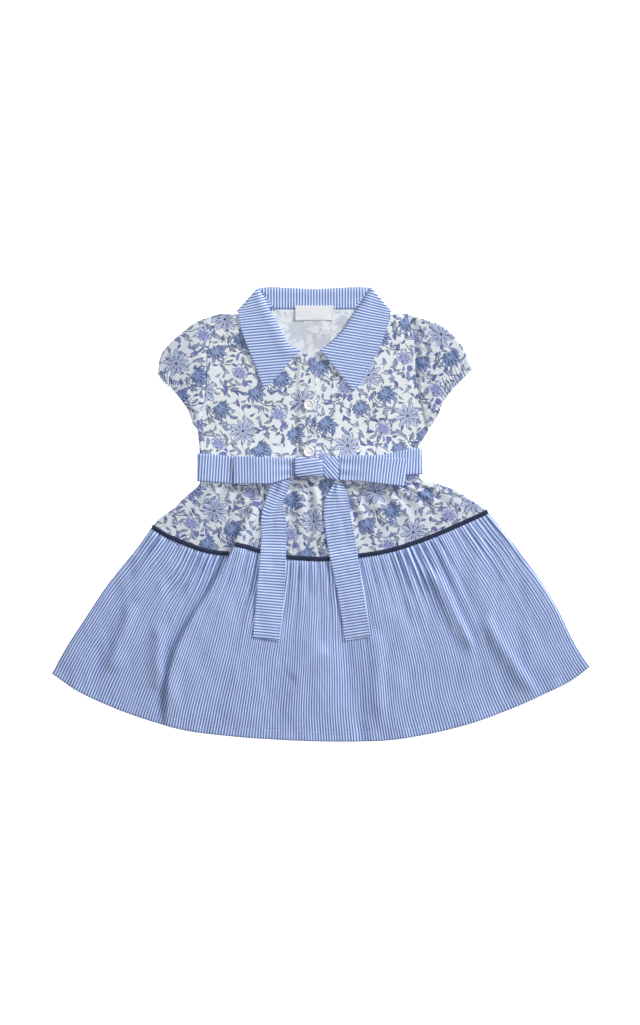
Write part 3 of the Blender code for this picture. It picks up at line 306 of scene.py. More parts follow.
def sash_edges(x):
    """Lower and upper edge of the sash at x."""
    table = np.array(SASH_EDGE)
    return np.interp(x, table[:, 0], table[:, 1]), np.interp(x, table[:, 0], table[:, 2])


def raised(x, y, grow=0.0):
    """Share of one layer by which the panels rise over the sash and the collar's fall."""
    low, high = sash_edges(x)
    sash = smooth_step((4.6 + grow - np.maximum(low - y, y - high)) / 4.0)
    fall = smooth_step((y - 188.5 + grow) / 5.0) * smooth_step((x + 94.5 + grow) / 5.2) * smooth_step((80.7 + grow - x) / 5.2)
    return np.maximum(sash, fall)


def fold_lift(x, y):
    """Height of the large folds of the front at each point."""
    total = np.zeros_like(x)
    for fold in FOLDS:
        crest = along(fold["crest"], 24)
        starts, run = crest[:-1], np.diff(crest, axis=0)
        best = np.full(x.shape, 1e9)
        side, share = np.zeros_like(x), np.zeros_like(x)
        for k in range(len(starts)):
            dx, dy = x - starts[k, 0], y - starts[k, 1]
            t = np.clip((dx * run[k, 0] + dy * run[k, 1]) / (run[k] ** 2).sum(), 0.0, 1.0)
            off_x, off_y = dx - t * run[k, 0], dy - t * run[k, 1]
            away = np.hypot(off_x, off_y)
            near = away < best
            best = np.where(near, away, best)
            side = np.where(near, off_x, side)
            share = np.where(near, (k + t) / len(starts), share)
        width = np.where(side < 0, fold["left"], fold["right"])
        fade = smooth_step(share / 0.2) * smooth_step((1.06 - share) / 0.22)
        total += fold["height"] * fade * np.exp(-(best / width) ** 2)
    return np.minimum(total, MOST_LIFT)


trees = {}                  # search trees of the pieces made so far, in millimetres


def make_piece(name, points, faces, cut, materials, node=None, faces_material=None, flat=False):
    """Mesh piece from points in millimetres, with the place of each corner in the flat cut as its map."""
    points = np.asarray(points, float)
    trees[name] = BVHTree.FromPolygons(points.tolist(), faces)
    mesh = bpy.data.meshes.new(name)
    mesh.from_pydata(((points - np.array([BOX_CENTRE[0], BOX_CENTRE[1], 0.0])) / 1000.0).tolist(), [], faces)
    layer = mesh.uv_layers.new(name="cut")
    if cut is not None:
        cut = np.asarray(cut, float)
        if len(cut) == len(points):
            corners = np.empty(len(mesh.loops), dtype=np.int32)
            mesh.loops.foreach_get("vertex_index", corners)
            cut = cut[corners]
        layer.data.foreach_set("uv", (cut / 1000.0).astype(np.float32).ravel())
    for material in materials if isinstance(materials, (list, tuple)) else [materials]:
        mesh.materials.append(material)
    if faces_material is not None:
        mesh.polygons.foreach_set("material_index", np.asarray(faces_material, dtype=np.int32))
    mesh.update()
    if not flat:
        mesh.shade_smooth()
    piece = bpy.data.objects.new(name, mesh)
    bpy.context.scene.collection.objects.link(piece)
    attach(piece, "root")
    if node:
        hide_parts(*([node] if isinstance(node, str) else node))
    return piece


def grid_faces(rows, columns, start=0, flip=False):
    """Quads of a grid, seen from its upper side."""
    r, c = np.meshgrid(np.arange(rows - 1), np.arange(columns - 1), indexing="ij")
    a = (start + r * columns + c).ravel()
    quads = np.column_stack([a, a + columns, a + columns + 1, a + 1])
    return quads[:, ::-1] if flip else quads


def border(rows, columns):
    """Indices round a grid, seen from above, anticlockwise."""
    down = [r * columns for r in range(rows - 1)]
    bottom = [(rows - 1) * columns + c for c in range(columns - 1)]
    up = [r * columns + columns - 1 for r in range(rows - 1, 0, -1)]
    back = list(range(columns - 1, 0, -1))
    return down + bottom + up + back


def cloth(name, top, cut, material, node=None, turn=UNDER_TURN, under=None, step=1):
    """Piece of cloth from a grid of points of its upper side, its edges turned down.

    With under, a material, its underside is closed over every row and column; step is not used."""
    rows, columns = top.shape[:2]
    points = [top.reshape(-1, 3)]
    cuts = [cut.reshape(-1, 2)]
    faces = grid_faces(rows, columns).tolist()
    count = rows * columns
    ring = np.array(border(rows, columns))
    edge = points[0][ring]
    around = np.roll(edge, -1, 0) - np.roll(edge, 1, 0)
    outward = np.column_stack([around[:, 1], -around[:, 0], np.zeros(len(ring))])
    outward /= np.maximum(np.linalg.norm(outward, axis=1), 1e-6)[:, None]
    rings = [ring]
    for push, drop in ((0.16, 0.35), (-0.1, 1.0)):
        turned = edge + outward * push
        turned[:, 2] -= turn * drop
        points.append(turned)
        cuts.append(cuts[0][ring])
        rings.append(np.arange(count, count + len(ring)))
        count += len(ring)
    for first, second in zip(rings[:-1], rings[1:]):
        near_first, near_second = np.roll(first, -1), np.roll(second, -1)
        faces += np.column_stack([first, second, near_second, near_first]).tolist()
    which = [0] * len(faces)
    materials = [material]
    if under is not None:
        low = top.copy()
        low[..., 2] -= turn
        points.append(low.reshape(-1, 3))
        cuts.append(cuts[0])
        below = grid_faces(rows, columns, count, flip=True).tolist()
        last = rings[-1]
        inner = ring + count
        faces += np.column_stack([last, inner, np.roll(inner, -1), np.roll(last, -1)]).tolist()
        which += [1] * len(ring) + [1] * len(below)
        faces += below
        materials.append(under)
    return make_piece(name, np.concatenate(points), faces, np.concatenate(cuts), materials, node,
                      faces_material=which)


def top_of(names, x, y, reach=0.0):
    """Highest point of the named pieces at (x, y), or within reach of it."""
    best = 0.0
    steps = np.linspace(-reach, reach, 5) if reach else (0.0,)
    for name in names:
        for dx in steps:
            for dy in steps:
                hit = trees[name].ray_cast(Vector((x + dx, y + dy, 60.0)), Vector((0.0, 0.0, -1.0)))[0]
                if hit is not None:
                    best = max(best, hit.z)
    return best


def paint_crease_shade(piece, height, base, depth, passes=60):
    """Paints shade into the cloth's colour: a little all over the piece, and more where the cloth lies deep between its
    folds.
    """
    level = height.copy()
    for _ in range(passes):
        level[:, 1:-1] = (level[:, :-2] + 2 * level[:, 1:-1] + level[:, 2:]) / 4
    # Painted shade: base is painted all over the piece, and the depth below the smoothed level adds more in the
    # valleys.
    marks = np.full(len(piece.data.vertices), base)
    marks[:height.size] += (1.0 - base) * np.clip((level - height) / depth, 0.0, 0.6).ravel()
    layer = piece.data.attributes.new("painted_crease_shade", "FLOAT", "POINT")
    layer.data.foreach_set("value", marks.astype(np.float32))


def side_round(count, width_share):
    """Share of full height near the two ends of a row, where the cloth rounds down to its side."""
    u = np.linspace(0.0, 1.0, count)
    near = np.minimum(np.minimum(u, 1 - u) / width_share, 1.0)
    return np.sqrt(1.0 - (1.0 - near) ** 2)


# Materials

class Nodes:
    """Short calls that add nodes to a tree."""

    def __init__(self, tree):
        self.tree = tree

    def add(self, kind, **settings):
        node = self.tree.nodes.new(kind)
        for key, value in settings.items():
            setattr(node, key, value)
        return node

    def put(self, socket, value):
        if hasattr(value, "is_output"):
            self.tree.links.new(value, socket)
        elif hasattr(socket.default_value, "__len__") and not hasattr(value, "__len__"):
            socket.default_value = (value,) * len(socket.default_value)
        else:
            if hasattr(value, "__len__") and len(socket.default_value) == 4 and len(value) == 3:
                value = (*value, 1.0)
            socket.default_value = value

    def math(self, operation, *values, clamp=False):
        node = self.add("ShaderNodeMath", operation=operation, use_clamp=clamp)
        for k, value in enumerate(values):
            self.put(node.inputs[k], value)
        return node.outputs[0]

    def vector(self, operation, *values):
        node = self.add("ShaderNodeVectorMath", operation=operation)
        for k, value in enumerate(values):
            self.put(node.inputs[3 if operation == "SCALE" and k == 1 else k], value)
        return node.outputs["Value" if operation in ("DOT_PRODUCT", "LENGTH") else "Vector"]

    def ramp(self, value, low, high):
        node = self.add("ShaderNodeMapRange", interpolation_type="SMOOTHSTEP")
        for key, number in (("Value", value), ("From Min", low), ("From Max", high)):
            self.put(node.inputs[key], number)
        return node.outputs[0]

    def mix(self, share, first, second):
        node = self.add("ShaderNodeMix", data_type="RGBA")
        self.put(node.inputs[0], share)
        self.put(node.inputs[6], first)
        self.put(node.inputs[7], second)
        return node.outputs[2]

    def noise(self, vector, scale, detail=2.0, rough=0.5):
        node = self.add("ShaderNodeTexNoise")
        for key, value in (("Vector", vector), ("Scale", scale), ("Detail", detail), ("Roughness", rough)):
            self.put(node.inputs[key], value)
        return node.outputs["Fac"]

    def cut(self):
        """Place in the flat cut, in millimetres."""
        node = self.add("ShaderNodeUVMap", uv_map="cut")
        return self.vector("SCALE", node.outputs[0], 1000.0)

    def parts(self, vector):
        node = self.add("ShaderNodeSeparateXYZ")
        self.put(node.inputs[0], vector)
        return node.outputs[0], node.outputs[1]


def new_group(name, inputs, outputs):
    group = bpy.data.node_groups.new(name, "ShaderNodeTree")
    for label, kind in inputs:
        group.interface.new_socket(label, in_out="INPUT", socket_type="NodeSocket" + kind)
    for label, kind in outputs:
        group.interface.new_socket(label, in_out="OUTPUT", socket_type="NodeSocket" + kind)
    n = Nodes(group)
    return group, n, n.add("NodeGroupInput").outputs, n.add("NodeGroupOutput").inputs


def place_in_repeat(n, given):
    """Wrapped place of a motif as x and y in its own turn."""
    wrapped = n.vector("FRACTION", n.vector("SUBTRACT", given["Spot"], given["Middle"]))
    wrapped = n.vector("SUBTRACT", wrapped, (0.5, 0.5, 0.0))
    return n.vector("DOT_PRODUCT", wrapped, given["Row X"]), n.vector("DOT_PRODUCT", wrapped, given["Row Y"])


PLACE_INPUTS = [("Spot", "Vector"), ("Middle", "Vector"), ("Row X", "Vector"), ("Row Y", "Vector")]


def bloom_group():
    """Pointed petals round a heart: their fill and their lines."""
    group, n, given, out = new_group("bloom", PLACE_INPUTS + [(k, "Float") for k in ("Petals", "Radius", "Back", "Wide")],
                                     [("Fill", "Float"), ("Line", "Float")])
    x, y = place_in_repeat(n, given)
    away = n.math("SQRT", n.math("ADD", n.math("MULTIPLY", x, x), n.math("MULTIPLY", y, y)))
    angle = n.math("ARCTAN2", y, x)
    turns = n.math("MULTIPLY", angle, n.math("DIVIDE", given["Petals"], 2 * math.pi))
    index = n.math("FLOOR", turns)
    uneven = n.math("MULTIPLY_ADD", n.math("SINE", n.math("MULTIPLY", index, 2.4)), 0.07, 0.95)
    off = n.math("SUBTRACT", n.math("MULTIPLY", n.math("FRACT", turns), 2.0), 1.0)
    lean = n.math("MULTIPLY_ADD", n.math("COSINE", angle), n.math("SUBTRACT", 1.0, given["Back"]), given["Back"])
    size = n.math("MULTIPLY", n.math("MULTIPLY", given["Radius"], uneven), n.math("MAXIMUM", lean, 0.02))
    share = n.math("DIVIDE", away, size)
    belly = n.math("SINE", n.math("MULTIPLY", n.math("POWER", n.math("MINIMUM", share, 1.0), 1.45), math.pi))
    belly = n.math("POWER", n.math("MAXIMUM", belly, 0.0), 0.7)
    pitch = n.math("DIVIDE", math.pi, given["Petals"])
    width = n.math("MULTIPLY", n.math("MULTIPLY", belly, given["Wide"]), n.math("MULTIPLY", n.math("MULTIPLY", pitch, size), 0.62))
    arc = n.math("MULTIPLY", n.math("ABSOLUTE", off), n.math("MULTIPLY", away, pitch))
    inside = n.math("MINIMUM", n.math("SUBTRACT", width, arc), n.math("SUBTRACT", size, away))
    fill = n.ramp(inside, -0.12, 0.2)
    rim = n.math("MULTIPLY", fill, n.ramp(inside, 0.95, 0.5))
    between = n.ramp(n.math("SUBTRACT", n.math("MULTIPLY", away, pitch), arc), 0.42, 0.12)
    vein = n.math("MULTIPLY", n.ramp(arc, 0.34, 0.12), n.ramp(share, 0.8, 0.7))
    hatch = n.math("FRACT", n.math("MULTIPLY", n.math("SUBTRACT", away, n.math("MULTIPLY", arc, 1.5)), 0.8))
    hatch = n.math("MULTIPLY", n.ramp(hatch, 0.6, 0.75), n.math("MULTIPLY", n.ramp(off, 0.0, 0.15), 0.55))
    heart = n.ramp(share, 0.13, 0.09)
    lines = n.math("MAXIMUM", n.math("MAXIMUM", rim, between), n.math("MAXIMUM", vein, hatch))
    lines = n.math("MAXIMUM", n.math("MULTIPLY", lines, n.math("MULTIPLY_ADD", n.ramp(away, 1.5, 6.0), 0.7, 0.3)), heart)
    fill = n.math("MAXIMUM", fill, heart)
    n.put(out["Fill"], fill)
    n.put(out["Line"], n.math("MULTIPLY", lines, fill))
    return group


def leaf_group():
    """Bent pointed leaf: its fill and its outline, vein and hatching."""
    group, n, given, out = new_group("leaf", PLACE_INPUTS + [(k, "Float") for k in ("Long", "Wide", "Bend")],
                                     [("Fill", "Float"), ("Line", "Float")])
    x, y = place_in_repeat(n, given)
    y = n.math("SUBTRACT", y, n.math("MULTIPLY", n.math("MULTIPLY", x, x), given["Bend"]))
    share = n.math("DIVIDE", x, given["Long"])
    width = n.math("MULTIPLY", given["Wide"], n.math("SUBTRACT", 1.0, n.math("MULTIPLY", share, share)))
    side = n.math("ABSOLUTE", y)
    inside = n.math("SUBTRACT", width, side)
    fill = n.ramp(inside, 0.0, 0.3)
    rim = n.math("MULTIPLY", fill, n.ramp(inside, 0.95, 0.45))
    vein = n.ramp(side, 0.42, 0.2)
    hatch = n.math("FRACT", n.math("MULTIPLY", n.math("ADD", x, n.math("MULTIPLY", side, -1.3)), 0.62))
    hatch = n.math("MULTIPLY", n.ramp(hatch, 0.62, 0.72), n.ramp(y, -0.1, 0.2))
    n.put(out["Fill"], fill)
    n.put(out["Line"], n.math("MULTIPLY", fill, n.math("MAXIMUM", rim, n.math("MAXIMUM", vein, n.math("MULTIPLY", hatch, 0.7)))))
    return group


def stem_group():
    """Thin bent stem."""
    group, n, given, out = new_group("stem", PLACE_INPUTS + [(k, "Float") for k in ("Long", "Bend")], [("Line", "Float")])
    x, y = place_in_repeat(n, given)
    wave = n.math("MULTIPLY", n.math("SINE", n.math("MULTIPLY", x, 0.45)), 0.5)
    y = n.math("SUBTRACT", n.math("SUBTRACT", y, wave), n.math("MULTIPLY", n.math("MULTIPLY", x, x), given["Bend"]))
    line = n.ramp(n.math("ABSOLUTE", y), 0.62, 0.26)
    n.put(out["Line"], n.math("MULTIPLY", line, n.ramp(n.math("SUBTRACT", given["Long"], n.math("ABSOLUTE", x)), 0.0, 0.8)))
    return group


def sprig(n, place, colour, row):
    """Small leaves on short stalks, strewn over the ground and turned every way."""
    spread = n.add("ShaderNodeTexVoronoi", voronoi_dimensions="2D")
    moved = n.vector("ADD", place, (row["shift"], row["shift"] * 0.7, 0.0))
    for key, value in (("Vector", moved), ("Scale", 1 / row["pitch"]), ("Randomness", 0.62)):
        n.put(spread.inputs[key], value)
    x, y = n.parts(n.vector("SUBTRACT", moved, spread.outputs["Position"]))
    chance, kind = n.parts(spread.outputs["Color"])
    turn = n.math("MULTIPLY", chance, 4 * math.pi)
    c, s = n.math("COSINE", turn), n.math("SINE", turn)
    run = n.math("ADD", n.math("MULTIPLY", x, c), n.math("MULTIPLY", y, s))
    off = n.math("SUBTRACT", n.math("MULTIPLY", y, c), n.math("MULTIPLY", x, s))
    off = n.math("SUBTRACT", off, n.math("MULTIPLY", n.math("MULTIPLY", run, run), row["bend"]))
    off = n.math("ABSOLUTE", off)
    share = n.math("DIVIDE", n.math("ADD", run, n.math("MULTIPLY", n.math("ABSOLUTE", run), 0.12)), row["long"])
    edge = n.math("MULTIPLY", n.math("SUBTRACT", 1.0, n.math("MULTIPLY", share, share)), row["wide"])
    inside = n.math("SUBTRACT", edge, off)
    fill = n.ramp(inside, -0.1, 0.15)
    rim = n.math("MULTIPLY", fill, n.ramp(inside, 0.62, 0.36))
    stalk = n.math("MULTIPLY", n.ramp(off, 0.38, 0.16), n.ramp(n.math("ABSOLUTE", n.math("ADD", run, row["long"] * 0.6)), row["long"] * 1.2, row["long"] * 1.1))
    tint = n.mix(n.ramp(kind, 0.45, 0.55), INK["leaf"], n.mix(n.ramp(kind, 0.8, 0.85), INK["deep"], INK["violet"]))
    colour = n.mix(fill, colour, tint)
    line = n.math("MAXIMUM", rim, stalk)
    return n.mix(n.math("MULTIPLY", line, 0.92), colour, INK["line"]), line


def print_group():
    """The whole repeat: how much of the fill and line inks lies at a place of the cut, and the print's colour."""
    group, n, given, out = new_group("flower_print", [("Place", "Vector")], [("Colour", "Color"), ("Ink", "Float")])
    groups = {"bloom": bloom_group(), "leaf": leaf_group(), "stem": stem_group()}
    a, b = np.array(REPEAT_A), np.array(REPEAT_B)
    size = a[0] * b[1] - a[1] * b[0]
    to_repeat = ((b[1] / size, -b[0] / size, 0.0), (-a[1] / size, a[0] / size, 0.0))
    wobble = n.add("ShaderNodeTexNoise", noise_dimensions="2D")
    n.put(wobble.inputs["Vector"], given["Place"])
    n.put(wobble.inputs["Scale"], 0.22)
    shifted = n.vector("ADD", given["Place"], n.vector("SCALE", n.vector("SUBTRACT", wobble.outputs["Color"], (0.5, 0.5, 0.5)), 1.5))
    spot = n.add("ShaderNodeCombineXYZ")
    for k in (0, 1):
        n.put(spot.inputs[k], n.vector("DOT_PRODUCT", shifted, to_repeat[k]))

    def motif(kind, row, values):
        node = n.add("ShaderNodeGroup", node_tree=groups[kind])
        turn = math.radians(row["turn"])
        c, s = math.cos(turn), math.sin(turn)
        middle = (to_repeat[0][0] * row["x"] + to_repeat[0][1] * row["y"] - 0.5,
                  to_repeat[1][0] * row["x"] + to_repeat[1][1] * row["y"] - 0.5, 0.0)
        n.put(node.inputs["Spot"], spot.outputs[0])
        node.inputs["Middle"].default_value = middle
        node.inputs["Row X"].default_value = (c * a[0] + s * a[1], c * b[0] + s * b[1], 0.0)
        node.inputs["Row Y"].default_value = (c * a[1] - s * a[0], c * b[1] - s * b[0], 0.0)
        for key, value in values.items():
            node.inputs[key].default_value = value
        return node.outputs

    colour, cover = INK["ground"], 0.0
    for row in SPRIGS:
        colour, line = sprig(n, given["Place"], colour, row)
        cover = n.math("MAXIMUM", cover, line)
    for row in STEMS:
        made = motif("stem", row, {"Long": row["long"], "Bend": row["bend"]})
        colour = n.mix(n.ramp(made["Line"], 0.15, 0.75), colour, INK["line"])
        cover = n.math("MAXIMUM", cover, made["Line"])
    for row in LEAVES:
        made = motif("leaf", row, {"Long": row["long"], "Wide": row["wide"], "Bend": row["bend"]})
        colour = n.mix(made["Fill"], colour, INK["leaf"])
        colour = n.mix(made["Line"], colour, INK["line"])
        cover = n.math("MAXIMUM", cover, n.math("MAXIMUM", made["Line"], n.math("MULTIPLY", made["Fill"], 0.3)))
    for row in BLOOMS:
        made = motif("bloom", row, {"Petals": float(row["petals"]), "Radius": row["radius"], "Back": row["back"],
                                    "Wide": row["wide"]})
        ink = INK[row["ink"]]
        shade = n.mix(n.noise(given["Place"], 0.16, 1.0), ink, tuple(c * 1.25 for c in ink))
        colour = n.mix(made["Fill"], colour, shade)
        colour = n.mix(made["Line"], colour, INK["line"])
        cover = n.math("MAXIMUM", cover, n.math("MAXIMUM", made["Line"], n.math("MULTIPLY", made["Fill"], 0.6)))
    n.put(out["Colour"], colour)
    n.put(out["Ink"], cover)
    return group


def cloth_base(name, roughness=0.86, sheen=0.25):
    """New cloth material: its nodes, its shader and the place in the cut."""
    material = bpy.data.materials.new(name)
    material.use_nodes = True
    shader = material.node_tree.nodes["Principled BSDF"]
    shader.inputs["Roughness"].default_value = roughness
    shader.inputs["Sheen Weight"].default_value = sheen
    shader.inputs["Sheen Roughness"].default_value = 0.5
    shader.inputs["Specular IOR Level"].default_value = 0.25
    n = Nodes(material.node_tree)
    return material, n, shader, n.cut()


def weave(n, shader, place, colour, thread=0.34, depth=0.05, tone=0.05):
    """Plain weave: threads over and under as relief and as a slight change of tone, with slubs."""
    x, y = n.parts(place)
    over = n.math("SINE", n.math("MULTIPLY", x, 2 * math.pi / thread))
    under = n.math("SINE", n.math("MULTIPLY", y, 2 * math.pi / thread))
    cross = n.math("MULTIPLY", over, under)
    streak_a = n.noise(n.vector("MULTIPLY", place, (1.4, 0.05, 1.0)), 1.0, 2.0)
    streak_b = n.noise(n.vector("MULTIPLY", place, (0.05, 1.4, 1.0)), 1.0, 2.0)
    slub = n.math("ADD", streak_a, streak_b)
    light = n.math("ADD", n.math("MULTIPLY", n.math("SUBTRACT", slub, 1.0), tone * 2.2), n.math("MULTIPLY_ADD", cross, tone * 0.5, 1.0))
    # Painted shade: the colour is darkened by the painted crease shade attribute, more in red and green than in blue.
    painted_crease_shade = n.vector("SCALE", (0.60, 0.54, 0.36), n.add("ShaderNodeAttribute", attribute_name="painted_crease_shade").outputs["Fac"])
    colour = n.vector("MULTIPLY", colour, n.vector("SUBTRACT", (1.0, 1.0, 1.0), painted_crease_shade))
    tinted = n.vector("MULTIPLY", colour, n.vector("SCALE", (1.0, 1.0, 1.0), light)) if not isinstance(colour, tuple) else \
        n.vector("SCALE", colour, light)
    n.put(shader.inputs["Base Color"], tinted)
    height = n.math("MULTIPLY_ADD", n.math("SUBTRACT", slub, 1.0), 1.4, cross)
    crease = n.noise(place, 0.12, 3.0, 0.55)
    height = n.math("MULTIPLY_ADD", crease, 5.0, height)
    bump = n.add("ShaderNodeBump")
    bump.inputs["Strength"].default_value = 0.5
    bump.inputs["Distance"].default_value = depth / 1000.0
    n.put(bump.inputs["Height"], height)
    n.put(shader.inputs["Normal"], bump.outputs[0])
    rough = n.math("MULTIPLY_ADD", n.math("SUBTRACT", slub, 1.0), 0.1, shader.inputs["Roughness"].default_value)
    n.put(shader.inputs["Roughness"], rough)


def striped_cloth():
    """Yarn-dyed stripes across the cut's first direction."""
    material, n, shader, place = cloth_base("striped_muslin")
    x, y = n.parts(place)
    wander = n.math("MULTIPLY", n.math("SUBTRACT", n.noise(n.vector("MULTIPLY", place, (0.3, 0.02, 1.0)), 1.0), 0.5), 0.3)
    phase = n.math("FRACT", n.math("DIVIDE", n.math("ADD", x, wander), STRIPE))
    off = n.math("MULTIPLY", n.math("ABSOLUTE", n.math("SUBTRACT", phase, 0.5)), 2.0)
    blue = n.ramp(off, 0.60, 0.46)
    edge = n.ramp(n.math("ABSOLUTE", n.math("SUBTRACT", off, 0.46)), 0.14, 0.05)
    tone = n.mix(n.noise(n.vector("MULTIPLY", place, (2.0, 0.08, 1.0)), 1.0), linear(118, 141, 204), linear(102, 125, 192))
    tone = n.mix(n.math("MULTIPLY", edge, 0.45), tone, linear(88, 106, 166))
    weave(n, shader, place, n.mix(blue, INK["white"], tone))
    return material


def flowered_cloth(printed):
    """Muslin with the flower print on its right side."""
    material, n, shader, place = cloth_base("flowered_muslin")
    node = n.add("ShaderNodeGroup", node_tree=printed)
    n.put(node.inputs[0], place)
    weave(n, shader, place, node.outputs["Colour"])
    return material


def reverse_cloth(printed):
    """The print's reverse: its ink shows through, paler and blurred."""
    material, n, shader, place = cloth_base("flowered_muslin_reverse")
    node = n.add("ShaderNodeGroup", node_tree=printed)
    n.put(node.inputs[0], n.vector("MULTIPLY", place, (-1.0, 1.0, 1.0)))
    through = n.math("MULTIPLY", node.outputs["Ink"], n.math("MULTIPLY_ADD", n.noise(place, 0.5, 2.0), 0.7, 0.35))
    weave(n, shader, place, n.mix(through, INK["reverse"], INK["reverse_ink"]))
    return material


def twill(name, colour, light, thread=0.5, roughness=0.7):
    """Close diagonal weave."""
    material, n, shader, place = cloth_base(name, roughness, 0.15)
    x, y = n.parts(place)
    ridge = n.math("SINE", n.math("MULTIPLY", n.math("ADD", x, y), 2 * math.pi / thread))
    patchy = n.noise(place, 0.35, 3.0)
    share = n.math("MULTIPLY_ADD", ridge, 0.2, n.math("MULTIPLY", patchy, 0.6), clamp=True)
    n.put(shader.inputs["Base Color"], n.mix(share, colour, light))
    bump = n.add("ShaderNodeBump")
    bump.inputs["Strength"].default_value = 0.6
    bump.inputs["Distance"].default_value = 0.00006
    n.put(bump.inputs["Height"], n.math("MULTIPLY_ADD", patchy, 2.0, ridge))
    n.put(shader.inputs["Normal"], bump.outputs[0])
    n.put(shader.inputs["Roughness"], n.math("MULTIPLY_ADD", patchy, 0.2, roughness - 0.1))
    return material


def pearl():
    """Pearly button: soft clouds under a clear coat."""
    material = bpy.data.materials.new("pearl_button")
    material.use_nodes = True
    shader = material.node_tree.nodes["Principled BSDF"]
    n = Nodes(material.node_tree)
    place = n.vector("SCALE", n.add("ShaderNodeTexCoord").outputs["Object"], 1000.0)
    cloud = n.noise(n.vector("MULTIPLY", place, (0.16, 0.5, 0.5)), 1.0, 4.0, 0.6)
    wave = n.math("SINE", n.math("MULTIPLY", cloud, 18.0))
    n.put(shader.inputs["Base Color"], n.mix(n.math("MULTIPLY_ADD", wave, 0.3, 0.5), linear(247, 246, 240), linear(224, 226, 226)))
    n.put(shader.inputs["Roughness"], n.math("MULTIPLY_ADD", cloud, 0.2, 0.2))
    shader.inputs["Coat Weight"].default_value = 0.6
    shader.inputs["Coat Roughness"].default_value = 0.1
    shader.inputs["Specular IOR Level"].default_value = 0.6
    return material


def sewing(name, colour):
    """Twisted sewing thread."""
    material = bpy.data.materials.new(name)
    material.use_nodes = True
    shader = material.node_tree.nodes["Principled BSDF"]
    n = Nodes(material.node_tree)
    place = n.vector("SCALE", n.add("ShaderNodeTexCoord").outputs["Object"], 1000.0)
    twist = n.add("ShaderNodeTexWave", bands_direction="DIAGONAL")
    n.put(twist.inputs["Vector"], place)
    n.put(twist.inputs["Scale"], 1.6)
    n.put(shader.inputs["Base Color"], n.mix(twist.outputs["Fac"], tuple(c * 0.82 for c in colour), colour))
    n.put(shader.inputs["Roughness"], n.math("MULTIPLY_ADD", twist.outputs["Fac"], 0.15, 0.55))
    shader.inputs["Sheen Weight"].default_value = 0.2
    return material


printed = print_group()
STRIPED = striped_cloth()
FLOWERED = flowered_cloth(printed)
REVERSE = reverse_cloth(printed)
NAVY = twill("navy_twill", INK["navy"], linear(48, 58, 92))
TAPE = twill("label_tape", INK["label"], linear(250, 250, 251), 0.3, 0.6)
PEARL = pearl()
THREAD_WHITE = sewing("thread_white", INK["thread"])
THREAD_BLUE = sewing("thread_blue", INK["thread_blue"])


# Skirt and hip band

def seam_line(columns, lift):
    """Skirt seam of the front with its step where the large fold crosses it."""
    whole = np.vstack([along(SEAM_LEFT, 30), along(SEAM_RIGHT, 90)])
    steps = np.concatenate([[0.0], np.cumsum(np.abs(np.diff(whole[:, 0])))])
    spots = np.linspace(0.0, steps[-1], columns)
    line = np.column_stack([np.interp(spots, steps, whole[:, k]) for k in (0, 1)])
    line[:, 1] += lift
    return line


def hip_grid(columns, rows, back=False):
    """Hip band from the waist, under the sash, to the skirt seam."""
    left, right = along(HIP_LEFT, 80), along(HIP_RIGHT, 80)
    upper = np.column_stack([np.linspace(HIP_LEFT[0][0], HIP_RIGHT[0][0], columns), np.full(columns, WAIST_Y - 0.15)])
    lower = (along(SEAM_BACK, columns) + np.array([0.0, PIPING_WIDTH / 2]) if back else seam_line(columns, 0.4))
    shares = np.linspace(0.0, 1.0, rows)
    side = [np.column_stack([np.interp(shares, np.linspace(0, 1, 80), edge[:, k]) for k in (0, 1)]) for edge in (left, right)]
    side[0][-1], side[1][-1] = lower[0], lower[-1]
    return patch(upper, lower, side[0], side[1])


def skirt_grid(columns, shares, back=False):
    """Skirt from its seam to the hem."""
    upper = (along(SEAM_BACK, columns) - np.array([0.0, PIPING_WIDTH / 2]) if back else seam_line(columns, -0.4))
    lower = along(HEM, columns)
    left, right = along(SKIRT_LEFT, places=shares), along(SKIRT_RIGHT, places=shares)
    left[0], right[0], left[-1], right[-1] = upper[0], upper[-1], lower[0], lower[-1]
    return patch(upper, lower, left, right, shares)


def along_columns(grid, places, first):
    """Heights summed down each column: the length of the cloth from its first row."""
    points = np.dstack([grid, places])
    steps = np.linalg.norm(np.diff(points, axis=0), axis=-1)
    return first + np.concatenate([np.zeros((1, grid.shape[1])), np.cumsum(steps, axis=0)])


